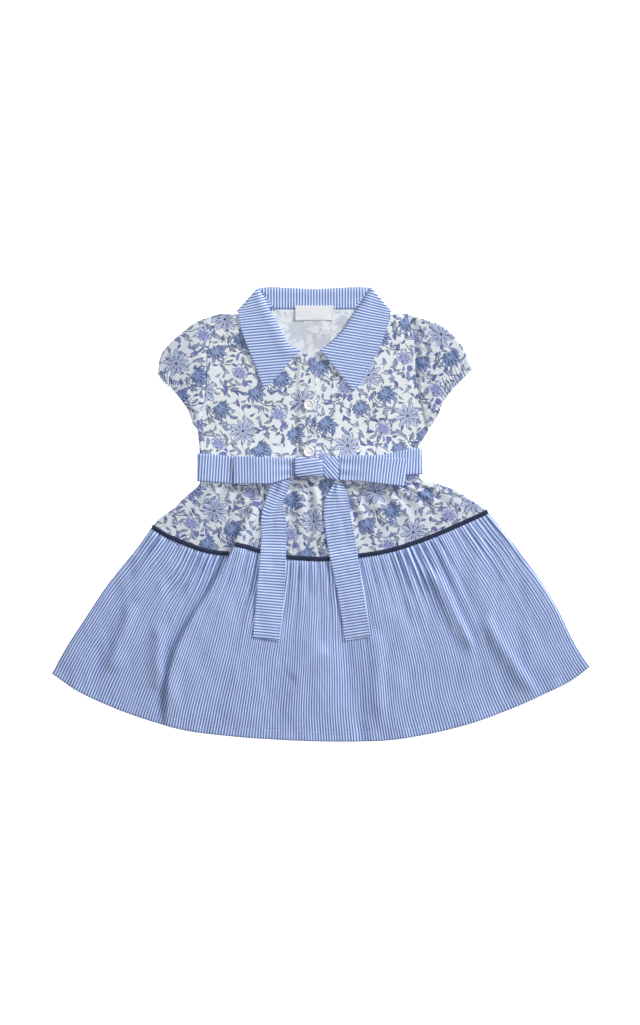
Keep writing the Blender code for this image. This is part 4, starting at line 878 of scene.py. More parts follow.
def skirt_front():
    rows, columns = 150, 620
    length = 612.0
    shares = np.linspace(0.0, 1.0, rows) ** 1.25
    grid = skirt_grid(columns, shares)
    x, y = grid[..., 0], grid[..., 1]
    u, v = np.linspace(0.0, 1.0, columns)[None, :], shares[:, None]
    turns = GATHERS * u + 0.35 * np.sin(2 * math.pi * 5.0 * u + 1.0) + 0.10 * noise(u * 40.0, 0 * u + 2.0, 2)
    turns = turns + 0.12 * noise(u * 20.0 + 0 * v, v * 4.0, 3) * smooth_step(v / 0.15)
    share = turns - np.floor(turns)
    size = GATHER_HEIGHT * (0.72 + 0.28 * np.sin(2 * math.pi * 7.0 * u + 0.6)) * (1.0 + 0.8 * noise(u * 30.0, 0 * u, 4))
    reach = 0.26 * (1.0 + 0.85 * noise(u * 31.0, 0 * u + 9.5, 5))
    fade = smooth_step(v / 0.04) * np.exp(-(v / reach) ** 1.3)
    narrow = 0.17 + 0.16 * smooth_step(v / 0.5)
    valley = np.exp(-((share - 0.5) / narrow) ** 2)
    lifted = LAYER + fold_lift(x, y) * 1.75
    height = lifted + 2.0 * size * fade * (1.0 - valley) + CLOTH
    long_waves = noise(u * 17.0 + 0.6 * noise(u * 9.0, v * 2.2, 6), v * 1.7, 7)
    height += 1.5 * (long_waves * smooth_step((v - 0.05) / 0.3) + 0.45) * smooth_step(v / 0.08)
    height += 0.8 * noise(x / 13.0 + 0.5 * noise(x / 30.0, y / 30.0, 1), y / 26.0, 8) * smooth_step(v / 0.2)
    height += 0.2 * noise(x / 6.0, y / 12.0, 9)
    edge = side_round(columns, 0.006)[None, :]
    height = 1.3 + (height - 1.3) * edge
    height += 0.25 * smooth_step((v - 0.968) / 0.012)
    pitch = length / GATHERS
    wide = np.gradient(x, axis=1) / (1.0 / (columns - 1)) / GATHERS
    hidden = np.clip(pitch - wide, 0.0, pitch) * np.exp(-(v / 0.5) ** 2)
    sharp = 0.13 + 0.35 * smooth_step((v - 0.1) / 0.6)
    across = length * u + hidden * (smooth_step((share - 0.5) / sharp + 0.5) - share)
    across = across + 1.3 * noise(x / 30.0, y / 50.0, 10) + 0.5 * noise(x / 15.0, y / 26.0, 16) * smooth_step(v / 0.2)
    down = along_columns(grid, height, 0.0)
    piece = cloth("skirt_front_cloth", np.dstack([grid, height]), np.dstack([across, -down]), STRIPED,
                  "skirt_front")
    # Painted shade over the whole skirt front, deeper in the valleys of its gathers and folds.
    paint_crease_shade(piece, height, 0.18, 1.7)
    return grid, height


def skirt_back():
    rows, columns = 50, 240
    shares = np.linspace(0.0, 1.0, rows)
    grid = skirt_grid(columns, shares, back=True)
    u, v = np.linspace(0.0, 1.0, columns)[None, :], shares[:, None]
    height = np.full(grid.shape[:2], UNDER_TURN)
    height += 0.25 * side_round(columns, 0.01)[None, :]
    cut = np.dstack([612.0 * u + 0 * v, -along_columns(grid, height, 0.0)])
    piece = cloth("skirt_back_cloth", np.dstack([grid, height]), cut, STRIPED, "skirt_back", under=STRIPED)


def hip_front():
    rows, columns = 90, 400
    grid = hip_grid(columns, rows)
    x, y = grid[..., 0], grid[..., 1]
    u, v = np.linspace(0.0, 1.0, columns)[None, :], np.linspace(0.0, 1.0, rows)[:, None]
    wave = HIP_GATHERS * 2 * math.pi * u
    wave = wave + 0.8 * np.sin(wave / 5.0) + 0.9 * noise(u * 9.0, v * 2.0, 12)
    body = np.sin(math.pi * np.clip(v, 0, 1) ** 0.7) ** 2
    size = 0.95 * (1.0 + 0.5 * noise(u * 17.0, 0 * u, 13))
    height = LAYER + 1.6 * fold_lift(x, y) + size * (1.0 - np.cos(wave)) * body
    height = np.maximum(height, LAYER + LAYER * raised(x, y, grow=2.0)) + CLOTH
    height += 0.3 * noise(x / 11.0, y / 16.0, 14) * smooth_step(v / 0.4) + 0.1 * noise(x / 4.0, y / 6.0, 15)
    height = 1.3 + (height - 1.3) * side_round(columns, 0.008)[None, :]
    across = x + 1.2 * np.sin(wave) * body
    piece = cloth("hip_front_cloth", np.dstack([grid, height]), np.dstack([across + 7.0, y + 9.0]), FLOWERED,
                  "hip_front")
    # Painted shade over the whole hip band, deeper between its gathers.
    paint_crease_shade(piece, height, 0.22, 1.8, 80)
    return grid, height


def hip_back():
    grid = hip_grid(160, 40, back=True)
    x, y = grid[..., 0], grid[..., 1]
    height = UNDER_TURN + LAYER * raised(x, y)
    piece = cloth("hip_back_cloth", np.dstack([grid, height]), np.dstack([-x, y]), REVERSE, "hip_back",
                  under=FLOWERED)


# Bodice

def clipped_rows(edge_left, edge_right, top_edge, bottom, rows, columns):
    """Grid between two sides, from a top edge down to a level."""
    left, right = along(edge_left, 120), along(edge_right, 120)
    grid = []
    for share in np.linspace(0.0, 1.0, rows):
        level = lambda x: top_edge(x) + (bottom - top_edge(x)) * share
        ends = []
        for side in (left, right):
            gap = [abs(level(px) - py) for px, py in side]
            ends.append(side[int(np.argmin(gap)), 0])
        x = np.linspace(ends[0], ends[1], columns)
        grid.append(np.column_stack([x, level(x)]))
    grid = np.array(grid)
    for side in (0, -1):
        grid[1:-1, side, 0] = np.convolve(np.pad(grid[:, side, 0], 2, mode="edge"), np.ones(5) / 5, "valid")[1:-1]
    return grid


def bodice_back():
    top_edge = lambda x: np.interp(x, [-105.8, -88.0, -60.4, -54.0, -46.0, -7.4, 32.0, 40.0, 45.9, 74.0, 90.0],
                                   [209.2, 208.4, 210.2, 210.4, 213.6, 213.2, 213.6, 210.4, 210.2, 208.4, 209.2])
    grid = clipped_rows(ARMHOLE_LEFT + SIDE_LEFT[1:], ARMHOLE_RIGHT + SIDE_RIGHT[1:], top_edge, WAIST_Y + 0.15, 120, 160)
    x, y = grid[..., 0], grid[..., 1]
    inside_neck = smooth_step((y - 166.0) / 26.0) * smooth_step((54.0 - np.abs(x + 7.0)) / 16.0)
    height = UNDER_TURN + LAYER * np.maximum(raised(x, y), inside_neck)
    near_neck = smooth_step((y - 160.0) / 10.0) * smooth_step((70.0 - np.abs(x + 7.0)) / 20.0)
    height += near_neck * 0.45 * (noise(x / 14.0, y / 18.0, 21) + 0.6 * noise(x / 7.0, y / 7.0, 22))
    height = np.maximum(height, UNDER_TURN)
    piece = cloth("bodice_back_cloth", np.dstack([grid, height]), np.dstack([x + 21.0, y]), REVERSE, "bodice_back",
                  under=FLOWERED)


def bodice_front(name, node, side, neck, on_top):
    rows, columns = 190, 170
    shoulder = neck[0] if on_top else neck[-1]
    under_collar = (-88.0, 208.4) if on_top else (74.0, 208.4)
    outer = list(map(tuple, along([side[0], under_collar, shoulder], 24)))
    inner = list(map(tuple, along(neck if on_top else neck[::-1], 40)))[1:]
    free = PLACKET_EDGE if on_top else UNDERLAP_EDGE
    stop = 166.8 if on_top else 166.2
    start = inner[-1]
    last = [(start[0] + (free - start[0]) * k / 16, start[1] + (stop - start[1]) * min(1.0, k / 3)) for k in range(1, 17)]
    top = np.array(outer + inner + last)
    steps = np.concatenate([[0.0], np.cumsum(np.linalg.norm(np.diff(top, axis=0), axis=1))])
    spots = np.linspace(0.0, steps[-1], columns)
    top = np.column_stack([np.interp(spots, steps, top[:, k]) for k in (0, 1)])
    bottom = np.column_stack([np.linspace(side[-1][0], free, columns), np.full(columns, WAIST_Y + 0.15)])
    outside = along(side, rows)
    inside = np.column_stack([np.full(rows, free), np.linspace(stop, WAIST_Y + 0.15, rows)])
    outside[0], outside[-1], inside[0], inside[-1] = top[0], bottom[0], top[-1], bottom[-1]
    grid = patch(top, bottom, outside, inside)
    x, y = grid[..., 0], grid[..., 1]
    rise = raised(x, y, grow=6.0)
    for _ in range(50):
        rise[1:-1] = (rise[:-2] + 2 * rise[1:-1] + rise[2:]) / 4
    height = LAYER + LAYER * rise + CLOTH
    if on_top:
        height += LAYER * smooth_step((x + 27.5) / 6.3)
    body = smooth_step((188.0 - y) / 12.0) * smooth_step((y - 66.0) / 8.0)
    height += body * (0.5 * noise(x / 24.0, y / 34.0, 31) + 0.22 * noise(x / 9.0 + 0.3 * noise(x / 20, y / 20, 2), y / 12.0, 32))
    height += 0.5 * np.abs(noise(x / 8.0, y / 60.0, 33)) * smooth_step((84.0 - y) / 16.0) * smooth_step((y - 58.0) / 4.0)
    height += 0.06 * noise(x / 3.0, y / 4.0, 34)
    if not on_top:
        grid, height = grid[:, ::-1], height[:, ::-1]
        x, y = grid[..., 0], grid[..., 1]
    outer_side = np.minimum(np.linspace(0, 1, columns) / 0.015, 1.0)
    if not on_top:
        outer_side = outer_side[::-1]
    loose = smooth_step((88.0 - y) / 4.0)
    height = 1.3 + (height - 1.3) * (1 - loose * (1 - np.sqrt(1 - (1 - outer_side) ** 2)[None, :]))
    cut = np.dstack([x + (0.0 if on_top else -6.0), y + (0.0 if on_top else 4.0)])
    piece = cloth(name, np.dstack([grid, height]), cut, FLOWERED, node)
    return grid, height


def sleeve(name, node, armhole, top_edge, cuff, turn, tilt):
    across, along_count, under = 181, 60, 60
    head = along([(x - 1.2 * turn, y) for x, y in armhole], across)
    wrist = along(cuff, across)
    upper, lower = along(top_edge, along_count), along([head[-1], wrist[-1]], along_count)
    upper[0], upper[-1] = head[0], wrist[0]
    field = patch(head, wrist, upper, lower)
    front = np.linspace(0.0, 1.0, across)
    reach = np.linspace(0.0, 1.0, along_count)
    rings, cuts = [], []
    for r in range(along_count):
        v = reach[r]
        body = math.sin(math.pi * min(max(v, 0.02), 0.98)) ** 0.7
        swell = np.sin(math.pi * front) ** 0.6
        head_folds = np.cos(front * 2 * math.pi * 15.0 + 1.4 * noise(front * 6, front * 0 + 1.5, 41)) * math.exp(-(v / 0.22) ** 1.3)
        cuff_folds = np.cos(front * 2 * math.pi * 21.0 + 1.8 * noise(front * 7, front * 0 + 4.5, 42)) * math.exp(-((1 - v) / 0.26) ** 1.3)
        band = smooth_step((v - 0.90) / 0.03)
        puff = 0.9 + 1.6 * body * swell + (0.5 * head_folds + 0.55 * cuff_folds * (1 - 0.35 * band)) * swell
        puff += 0.5 * noise(front * 5.0, front * 0 + v * 3.0, 43) * body * swell + 0.25 * band
        puff += 0.22 * noise(front * 17.0, front * 0 + v * 8.0, 44) * swell
        z = LAYER + CLOTH - 0.75 + (puff + 0.75) * smooth_step(v / 0.14)
        edge = np.sqrt(1.0 - (1.0 - np.clip(np.minimum(front, 1 - front) / 0.03, 0, 1)) ** 2)
        z = 1.4 + (z - 1.4) * edge
        spot = np.column_stack([np.interp(front, front, field[r, :, k]) for k in (0, 1)])
        back_share = np.linspace(1.0, 0.0, under)[1:-1]
        low = np.column_stack([np.interp(back_share, front, field[r, :, k]) for k in (0, 1)])
        low_z = 1.4 - 1.4 * np.sqrt(1.0 - (1.0 - np.clip(np.minimum(back_share, 1 - back_share) / 0.03, 0, 1)) ** 2)
        xy = np.vstack([spot, low])
        rings.append(np.column_stack([xy, np.concatenate([z, low_z])]))
        c, s = math.cos(tilt), math.sin(tilt)
        cuts.append(np.column_stack([c * xy[:, 0] - s * xy[:, 1], s * xy[:, 0] + c * xy[:, 1]]) + np.array([12.0 * turn, 4.0]))
    rings, cuts = np.array(rings), np.array(cuts)
    count = rings.shape[1]
    inner = rings.copy()
    middle = field.mean(axis=1)
    inner[..., 2] = 1.4 + (rings[..., 2] - 1.4) * 0.72
    inner[..., :2] += (middle[:, None] - rings[..., :2]) * 0.006
    points = np.concatenate([rings.reshape(-1, 3), inner.reshape(-1, 3)])
    faces, which = [], []
    for r in range(along_count - 1):
        for k in range(count):
            a, b = r * count + k, r * count + (k + 1) % count
            quad = [a, b, b + count, a + count] if turn > 0 else [a, a + count, b + count, b]
            faces.append(quad)
            which.append(0)
    size = along_count * count
    for r in range(along_count - 4, along_count - 1):
        for k in range(count):
            a, b = size + r * count + k, size + r * count + (k + 1) % count
            faces.append([a, a + count, b + count, b] if turn > 0 else [a, b, b + count, a + count])
            which.append(1)
    last = (along_count - 1) * count
    for k in range(count):
        a, b = last + k, last + (k + 1) % count
        faces.append([a, b, size + b, size + a] if turn > 0 else [b, a, size + a, size + b])
        which.append(1)
    piece = make_piece(name, points, faces, np.concatenate([cuts.reshape(-1, 2)] * 2), [FLOWERED, REVERSE], node,
                       faces_material=which)
    # Painted shade over the whole sleeve, deeper between its puffs and folds.
    paint_crease_shade(piece, rings[..., 2], 0.24, 0.9, 16)
    return field, rings


# Collar

def collar_bend(bend, inward):
    sewn, fold, edge = (np.array(p) for p in bend)
    rows = []
    for angle in np.radians(np.linspace(0, 180, 31)):
        pull = 1.0 - math.sin(angle)
        sewn_at = sewn - np.array([inward, 0.0]) * 2.5 * math.cos(angle)
        fold_at = fold - np.array([inward, 0.0]) * 0.5 * math.cos(angle)
        edge_at = edge + np.array([inward * 0.73, -0.69]) * 2.3 * pull
        heights = (2.1, 2.95 + 2.35 * math.cos(angle), 2.9 + 2.3 * math.cos(angle))
        rows.append((*sewn_at, *fold_at, *edge_at, *heights, 1.6 * inward * pull))
    return rows


def collar():
    """Collar with its stand: one cloth from one front end round the neck to the other."""
    stand_count, fall_count = 16, 44
    bend_left, bend_right = collar_bend(COLLAR_BEND_LEFT, 1.0), collar_bend(COLLAR_BEND_RIGHT, -1.0)[::-1]
    front_left = along(COLLAR_LEFT + bend_left[:1], 110, columns=6)
    back = along(bend_left[-1:] + COLLAR_BACK + bend_right[:1], 90, columns=6)
    front_right = along(bend_right[-1:] + COLLAR_RIGHT[::-1], 110, columns=6)
    table = [*front_left, *bend_left[1:-1], *back, *bend_right[1:-1], *front_right]
    part = ["left"] * len(front_left) + ["bend_left"] * (len(bend_left) - 2) + ["back"] * len(back)
    part += ["bend_right"] * (len(bend_right) - 2) + ["right"] * len(front_right)
    lines = []
    for row in table:
        sewn, fold, edge = np.array(row[:2]), np.array(row[2:4]), np.array(row[4:6])
        sewn_z, fall_z, edge_z, tuck = row[6:]
        roll = 2.0
        outward = (edge - fold) / np.linalg.norm(edge - fold)
        before = fold + (sewn - fold) / np.linalg.norm(sewn - fold) * roll
        after = fold + outward * roll + np.array([-outward[1], outward[0]]) * tuck
        stand = [(*sewn, sewn_z), (*(sewn + before) / 2, sewn_z), (*before, sewn_z), (*fold, (sewn_z + fall_z) / 2)]
        fall = [(*(after + (edge - after) * s), fall_z + (edge_z - fall_z) * s) for s in (0.0, 0.33, 0.66, 1.0)]
        path = along(stand + fall, 400, columns=3)
        near = int(np.argmin(np.linalg.norm(path[:, :2] - fold, axis=1)[20:380])) + 20
        first = path[np.linspace(0, near, stand_count).round().astype(int)]
        second = path[np.linspace(near, 399, fall_count).round().astype(int)]
        lines.append(np.vstack([first, second[1:]]))
    middle = np.array(lines)
    middle[..., 2] = np.maximum(middle[..., 2], 0.7)
    for _ in range(2):
        middle[1:-1] = (middle[:-2] + 2 * middle[1:-1] + middle[2:]) / 4
    normal = np.cross(np.gradient(middle, axis=0), np.gradient(middle, axis=1))
    normal /= np.maximum(np.linalg.norm(normal, axis=-1), 1e-9)[..., None]
    for _ in range(6):
        normal[1:-1] = (normal[:-2] + 2 * normal[1:-1] + normal[2:]) / 4
        normal /= np.linalg.norm(normal, axis=-1)[..., None]
    rows, columns = middle.shape[:2]
    ripple = 0.16 * noise(middle[..., 0] / 12.0, middle[..., 1] / 12.0, 51)
    half = 0.5
    upper, lower = middle + normal * (half + ripple[..., None]), middle - normal * half
    points = np.concatenate([upper.reshape(-1, 3), lower.reshape(-1, 3)])
    count = rows * columns
    faces = grid_faces(rows, columns).tolist() + grid_faces(rows, columns, count, flip=True).tolist()
    ring = np.array(border(rows, columns))
    faces += np.column_stack([ring, ring + count, np.roll(ring, -1) + count, np.roll(ring, -1)]).tolist()
    x, y = middle[..., 0], middle[..., 1]
    lean = 0.087 + (0.30 - 0.087) * smooth_step((y - 192.0) / 40.0)
    wing_left = np.stack([y - lean * (x + 60.0), x], axis=-1)
    lean = 0.15 + (0.34 - 0.15) * smooth_step((y - 192.0) / 40.0)
    wing_right = np.stack([y + lean * (x - 46.0), x], axis=-1)
    upright = np.stack([x, y], axis=-1)
    corners = []
    cut_of = {}
    for r, place in enumerate(part):
        wing = wing_left if "left" in place else wing_right
        cut_of[r] = (wing[r] if place in ("left", "right") else upright[r], wing[r] if place != "back" else upright[r])
    for face in faces:
        spots = [(i % count) // columns for i in face]
        spans = [(i % count) % columns for i in face]
        on_fall = 1 if min(spans) >= stand_count - 1 else 0
        row = min(spots)
        kind = part[row]
        wing = wing_left if "left" in kind else wing_right
        if on_fall:
            source = upright if kind == "back" else wing
        else:
            source = wing if kind in ("left", "right") else upright
        corners += [source[s, c] for s, c in zip(spots, spans)]
    piece = make_piece("collar_cloth", points, faces, np.array(corners), STRIPED, "collar")
    return upper, part, stand_count


# Sash and bow

def ribbon(name, low_edge, high_edge, cut_start, node, tilt=0.0, across=10, shape=None,
           thick=0.9):
    """Strip of cloth on edge lines given as x, y, z, made finer across; stripes run across it."""
    low_edge, high_edge = np.array(low_edge, float), np.array(high_edge, float)
    path = (low_edge + high_edge) / 2
    run = np.gradient(path[:, [0, 2]], axis=0)
    run /= np.maximum(np.linalg.norm(run, axis=1), 1e-6)[:, None]
    off = np.column_stack([-run[:, 1], np.zeros(len(run)), run[:, 0]])
    share = np.linspace(0.0, 1.0, across)[None, :, None]
    middle = low_edge[:, None] * (1 - share) + high_edge[:, None] * share
    length = np.concatenate([[0.0], np.cumsum(np.linalg.norm(np.diff(path, axis=0), axis=1))])
    cut = np.dstack([np.repeat(length[:, None], across, 1) + cut_start + tilt * (middle[..., 1] - path[:, None, 1]),
                     middle[..., 1]])
    if shape is not None:
        middle[..., 2] += shape(middle[..., 0], middle[..., 1], np.linspace(0, 1, len(path))[:, None], share[..., 0])
    outer, inner = middle + off[:, None] * thick / 2, middle - off[:, None] * thick / 2
    rows, columns = middle.shape[:2]
    count = rows * columns
    points = np.concatenate([outer.reshape(-1, 3), inner.reshape(-1, 3)])
    faces = grid_faces(rows, columns).tolist() + grid_faces(rows, columns, count, flip=True).tolist()
    ring = np.array(border(rows, columns))
    faces += np.column_stack([ring, ring + count, np.roll(ring, -1) + count, np.roll(ring, -1)]).tolist()
    piece = make_piece(name, points, faces, np.concatenate([cut.reshape(-1, 2)] * 2), STRIPED, node)
    return outer, inner


def sash():
    panels = ("bodice_right_cloth", "bodice_left_cloth", "hip_front_cloth")

    def front_height(x):
        low, high = sash_edges(x)
        return max(top_of(panels, x + dx, y) for y in np.linspace(low, high, 9) for dx in (-3.0, 0.0, 3.0)) + GAP + 0.45

    rows = [(x, x, front_height(x)) for x in np.linspace(-14.5, SASH_LEFT + 3.4, 60)]
    back = 0.5
    radius = (rows[-1][2] - back) / 2
    for angle in np.radians(np.linspace(10, 180, 18)):
        x = SASH_LEFT + 3.4 - 3.4 * math.sin(angle)
        rows.append((x, x, back + radius * (1 + math.cos(angle))))
    high_x, low_x = SASH_RIGHT
    start = SASH_LEFT + 3.4
    for share in np.linspace(0.0, 1.0, 40)[1:]:
        rows.append((start + (low_x - 3.4 - start) * share, start + (high_x - 3.4 - start) * share, back))
    high = front_height(high_x - 5.0)
    radius = (high - back) / 2
    for angle in np.radians(np.linspace(10, 180, 18)):
        turn = 3.4 * math.sin(angle)
        rows.append((low_x - 3.4 + turn, high_x - 3.4 + turn, back + radius * (1 - math.cos(angle))))
    rows += [(x, x, front_height(x)) for x in np.linspace(high_x - 8.0, -10.5, 50)]
    z = np.array([r[2] for r in rows])
    for _ in range(3):
        z[1:-1] = np.maximum(z[1:-1], (z[:-2] + 2 * z[1:-1] + z[2:]) / 4)
    pinched = lambda x, y, height: y + (40.5 - y) * smooth_step((27.0 - abs(x + 7.5)) / 6.0) * (1.0 if height > 2.0 else 0.0)
    low_edge = [(row[0], pinched(row[0], sash_edges(row[0])[0], height), height) for row, height in zip(rows, z)]
    high_edge = [(row[1], sash_edges(row[1])[1], height) for row, height in zip(rows, z)]
    ribbon("sash_cloth", low_edge, high_edge, 0.0, "sash_band", tilt=0.06, across=14)


def bow_loop(name, node, start, end, edges, tilt):
    under = []
    for share in np.linspace(0.0, 1.0, 9):
        x = start + (end - start) * share
        low, high = sash_edges(x)
        base = max(top_of(("sash_cloth",), x + dx, y) for y in np.linspace(low + 1, high - 1, 4) for dx in (-2, 0, 2))
        under.append((share, base + GAP + 0.6))
    level = max(z for _, z in under[-4:])
    shares = np.linspace(0.0, 1.0, 70)
    heights = np.maximum(np.interp(shares, [s for s, _ in under], [z for _, z in under]), level)
    half, fold = LAYER / 2 + 0.15, 0.035
    rows = [(share * (1 - fold), z) for share, z in zip(shares, heights)]
    last = rows[-1][1]
    for angle in np.radians(np.linspace(12, 168, 14)):
        rows.append((1 - fold + fold * math.sin(angle), last + half * (1 - math.cos(angle))))
    for share, z in reversed(rows[:70]):
        rows.append((share, z + 2 * half + 1.7 * math.sin(math.pi * share) ** 2))
    table = np.array(edges)
    low_edge, high_edge = [], []
    for share, z in rows:
        low_x, low_y, high_x, high_y = (np.interp(share, table[:, 0], table[:, k]) for k in (1, 2, 3, 4))
        low_edge.append((low_x, low_y, z))
        high_edge.append((high_x, high_y, z))

    def folds(x, y, run, share):
        upper = smooth_step((run - 0.52) / 0.05)
        near = np.exp(-(np.abs(x - start) / 17.0) ** 1.5)
        return upper * (0.75 * near * np.cos(share * 2 * math.pi * 2.2 + 0.5) + 0.3 * noise(x / 12.0, y / 9.0, 61)
                        * np.sin(math.pi * np.clip(np.abs(x - start) / abs(end - start), 0, 1)))

    ribbon(name, low_edge, high_edge, 1.0, node, tilt=tilt, across=24, shape=folds)


def knot_piece(name, node, sections, crown, lean, waves, seed):
    """Wrapped pad of the knot with its small pleats; its stripes lean by the given angle."""
    base = max(top_of(("sash_cloth",), x, y, 1.0) for x, low, high, _ in sections for y in (low + 2, high - 2)) + GAP
    table = along(sections, 46, columns=3)
    count = 96
    points, cuts = [], []
    c, s = math.cos(lean), math.sin(lean)
    for x, low, high, share in table:
        for k in range(count):
            angle = 2 * math.pi * k / count
            across, up = math.cos(angle), math.sin(angle)
            across = math.copysign(abs(across) ** 0.62, across)
            up = math.copysign(abs(up) ** 0.7, up)
            y = (low + high) / 2 + (high - low) / 2 * across
            z = base + crown * (0.5 + 0.5 * share * up)
            if up > 0:
                pleat = math.cos((y * c - x * s) * 2 * math.pi / waves + 0.8 * float(noise(x / 6.0, y / 6.0, seed)))
                z += 0.32 * pleat * up * share + 0.3 * float(noise(x / 7.0, y / 5.0, seed + 1)) * up
            points.append((x, y, z))
            round_y = y + (3.0 if up < 0 else 0.0)
            cuts.append((round_y * c - x * s, x * c + round_y * s))
    rings = len(table)
    faces = []
    for r in range(rings - 1):
        for k in range(count):
            a, b = r * count + k, r * count + (k + 1) % count
            faces.append([a, b, b + count, a + count])
    for ring, flip in ((0, True), (rings - 1, False)):
        hub = len(points)
        members = [ring * count + k for k in range(count)]
        points.append(tuple(np.mean([points[m] for m in members], axis=0)))
        cuts.append(tuple(np.mean([cuts[m] for m in members], axis=0)))
        for k in range(count):
            a, b = members[k], members[(k + 1) % count]
            faces.append([hub, b, a] if flip else [hub, a, b])
    piece = make_piece(name, points, faces, np.array(cuts), STRIPED, node)
    return piece, base


def tail(name, node, rows, seed):
    """Sash end lying down the front, with its hems."""
    below = ("sash_cloth", "hip_front_cloth", "skirt_front_cloth", "piping_front_cloth")
    table = along(rows, 40, columns=4)
    share = np.linspace(0.0, 1.0, 7)[None, :, None]
    grid = table[:, None, :2] * (1 - share) + table[:, None, 2:] * share
    height = np.array([[top_of(below, x, y, 2.6) for x, y in row] for row in grid]) + GAP + 0.55
    for _ in range(2):
        height[1:-1] = np.maximum(height[1:-1], (height[:-2] + 2 * height[1:-1] + height[2:]) / 4)
    down, across = 220, 26
    fine = along(rows, down, columns=4)
    share = np.linspace(0.0, 1.0, across)[None, :, None]
    grid = fine[:, None, :2] * (1 - share) + fine[:, None, 2:] * share
    v, u = np.linspace(0, 1, down), np.linspace(0, 1, across)
    rows_z = np.array([np.interp(u, np.linspace(0, 1, 7), row) for row in height])
    z = np.array([np.interp(v, np.linspace(0, 1, 40), rows_z[:, k]) for k in range(across)]).T
    arch = 1.0 - (2.0 * u[None, :] - 1.0) ** 2
    z += 1.5 * arch * np.exp(-(v[:, None] / 0.09) ** 2)
    z += 0.7 * np.cos(u[None, :] * 2 * math.pi * 1.8 + 0.4) * np.exp(-(v[:, None] / 0.16) ** 2)
    z += 0.25 * noise(grid[..., 0] / 13.0, grid[..., 1] / 19.0, seed) + 0.2
    z += 0.22 * (smooth_step((0.02 - np.minimum(u, 1 - u)) / 0.02))[None, :]
    centre = grid.mean(axis=1)
    length = np.concatenate([[0.0], np.cumsum(np.linalg.norm(np.diff(centre, axis=0), axis=1))])
    axis = np.gradient(centre, axis=0)
    for _ in range(12):
        axis[1:-1] = (axis[:-2] + 2 * axis[1:-1] + axis[2:]) / 4
    axis /= np.linalg.norm(axis, axis=1)[:, None]
    from_centre = grid - centre[:, None]
    ahead = (from_centre * axis[:, None]).sum(-1)
    cut = np.dstack([length[:, None] + ahead, from_centre[..., 0] * axis[:, None, 1] - from_centre[..., 1] * axis[:, None, 0]])
    piece = cloth(name, np.dstack([grid, z]), cut, STRIPED, node, turn=0.6)
    return grid, z


# Piping, label, buttons and sewing

def piping(name, node, seam, count, seed):
    """Round navy piping laid along the skirt seam."""
    line = along(seam, count)
    run = np.gradient(line, axis=0)
    run /= np.linalg.norm(run, axis=1)[:, None]
    off = np.column_stack([-run[:, 1], run[:, 0]])
    base = []
    for (x, y), (ox, oy) in zip(line, off):
        base.append(max(top_of(("hip_front_cloth", "skirt_front_cloth"), x + ox * k, y + oy * k) for k in (-2.2, -1.1, 0.0, 1.1, 2.2)))
    base = np.array(base)
    for _ in range(4):
        base[1:-1] = (base[:-2] + 2 * base[1:-1] + base[2:]) / 4
    angles = np.radians(np.linspace(180, 0, 13))
    profile = [(math.cos(a) * PIPING_WIDTH / 2, max(math.sin(a), 0.0) ** 0.8 * 1.55) for a in angles]
    grid, height = [], []
    wave = 0.12 * noise(np.arange(count) / 3.0, np.zeros(count), seed)
    for k in range(count):
        grid.append([line[k] - off[k] * a for a, _ in profile])
        height.append([base[k] + 0.1 + h * (1 + wave[k]) for _, h in profile])
    grid, height = np.array(grid), np.array(height)
    length = np.concatenate([[0.0], np.cumsum(np.linalg.norm(np.diff(line, axis=0), axis=1))])
    cut = np.dstack([np.repeat(length[:, None], 13, 1), np.repeat(np.linspace(-3.5, 3.5, 13)[None], count, 0)])
    top = np.dstack([grid, height])
    cloth(name, top[:, ::-1], cut, NAVY, node, turn=0.5)


def piping_back():
    count = 160
    upper = along(SEAM_BACK, count) + np.array([0.0, PIPING_WIDTH / 2])
    lower = along(SEAM_BACK, count) - np.array([0.0, PIPING_WIDTH / 2])
    share = np.linspace(0, 1, 7)[:, None, None]
    grid = upper[None] * (1 - share) + lower[None] * share
    height = 0.7 + 0.5 * np.sin(math.pi * np.linspace(0, 1, 7))[:, None] + np.zeros((7, count))
    cut = np.dstack([grid[..., 0], grid[..., 1]])
    cloth("piping_back_cloth", np.dstack([grid, height]), cut, NAVY, "piping_back", turn=0.65, under=NAVY)


def label():
    left, low, right, high = LABEL_BOX
    base = max(top_of(("bodice_back_cloth", "collar_cloth"), x, y) for x in np.linspace(left, right, 12)
               for y in np.linspace(low, high, 7)) + 0.3
    u, v = np.linspace(0, 1, 60), np.linspace(0, 1, 26)
    x = left + (right - left) * u[None, :] + 0 * v[:, None]
    y = high + (low - high) * v[:, None] + 0 * u[None, :]
    y = y + 0.5 * np.sin(math.pi * u)[None, :] * (v[:, None] - 0.3)
    z = base + 0.35 + 0.35 * np.sin(math.pi * u)[None, :] * np.sin(math.pi * v)[:, None] + 0.08 * noise(x / 6.0, y / 6.0, 71)
    z += 0.18 * (smooth_step((0.035 - np.minimum(u, 1 - u)) / 0.02))[None, :]
    cloth("label_neck_tape", np.dstack([x, y, z]), np.dstack([x, y]), TAPE, "label_neck", turn=0.35)


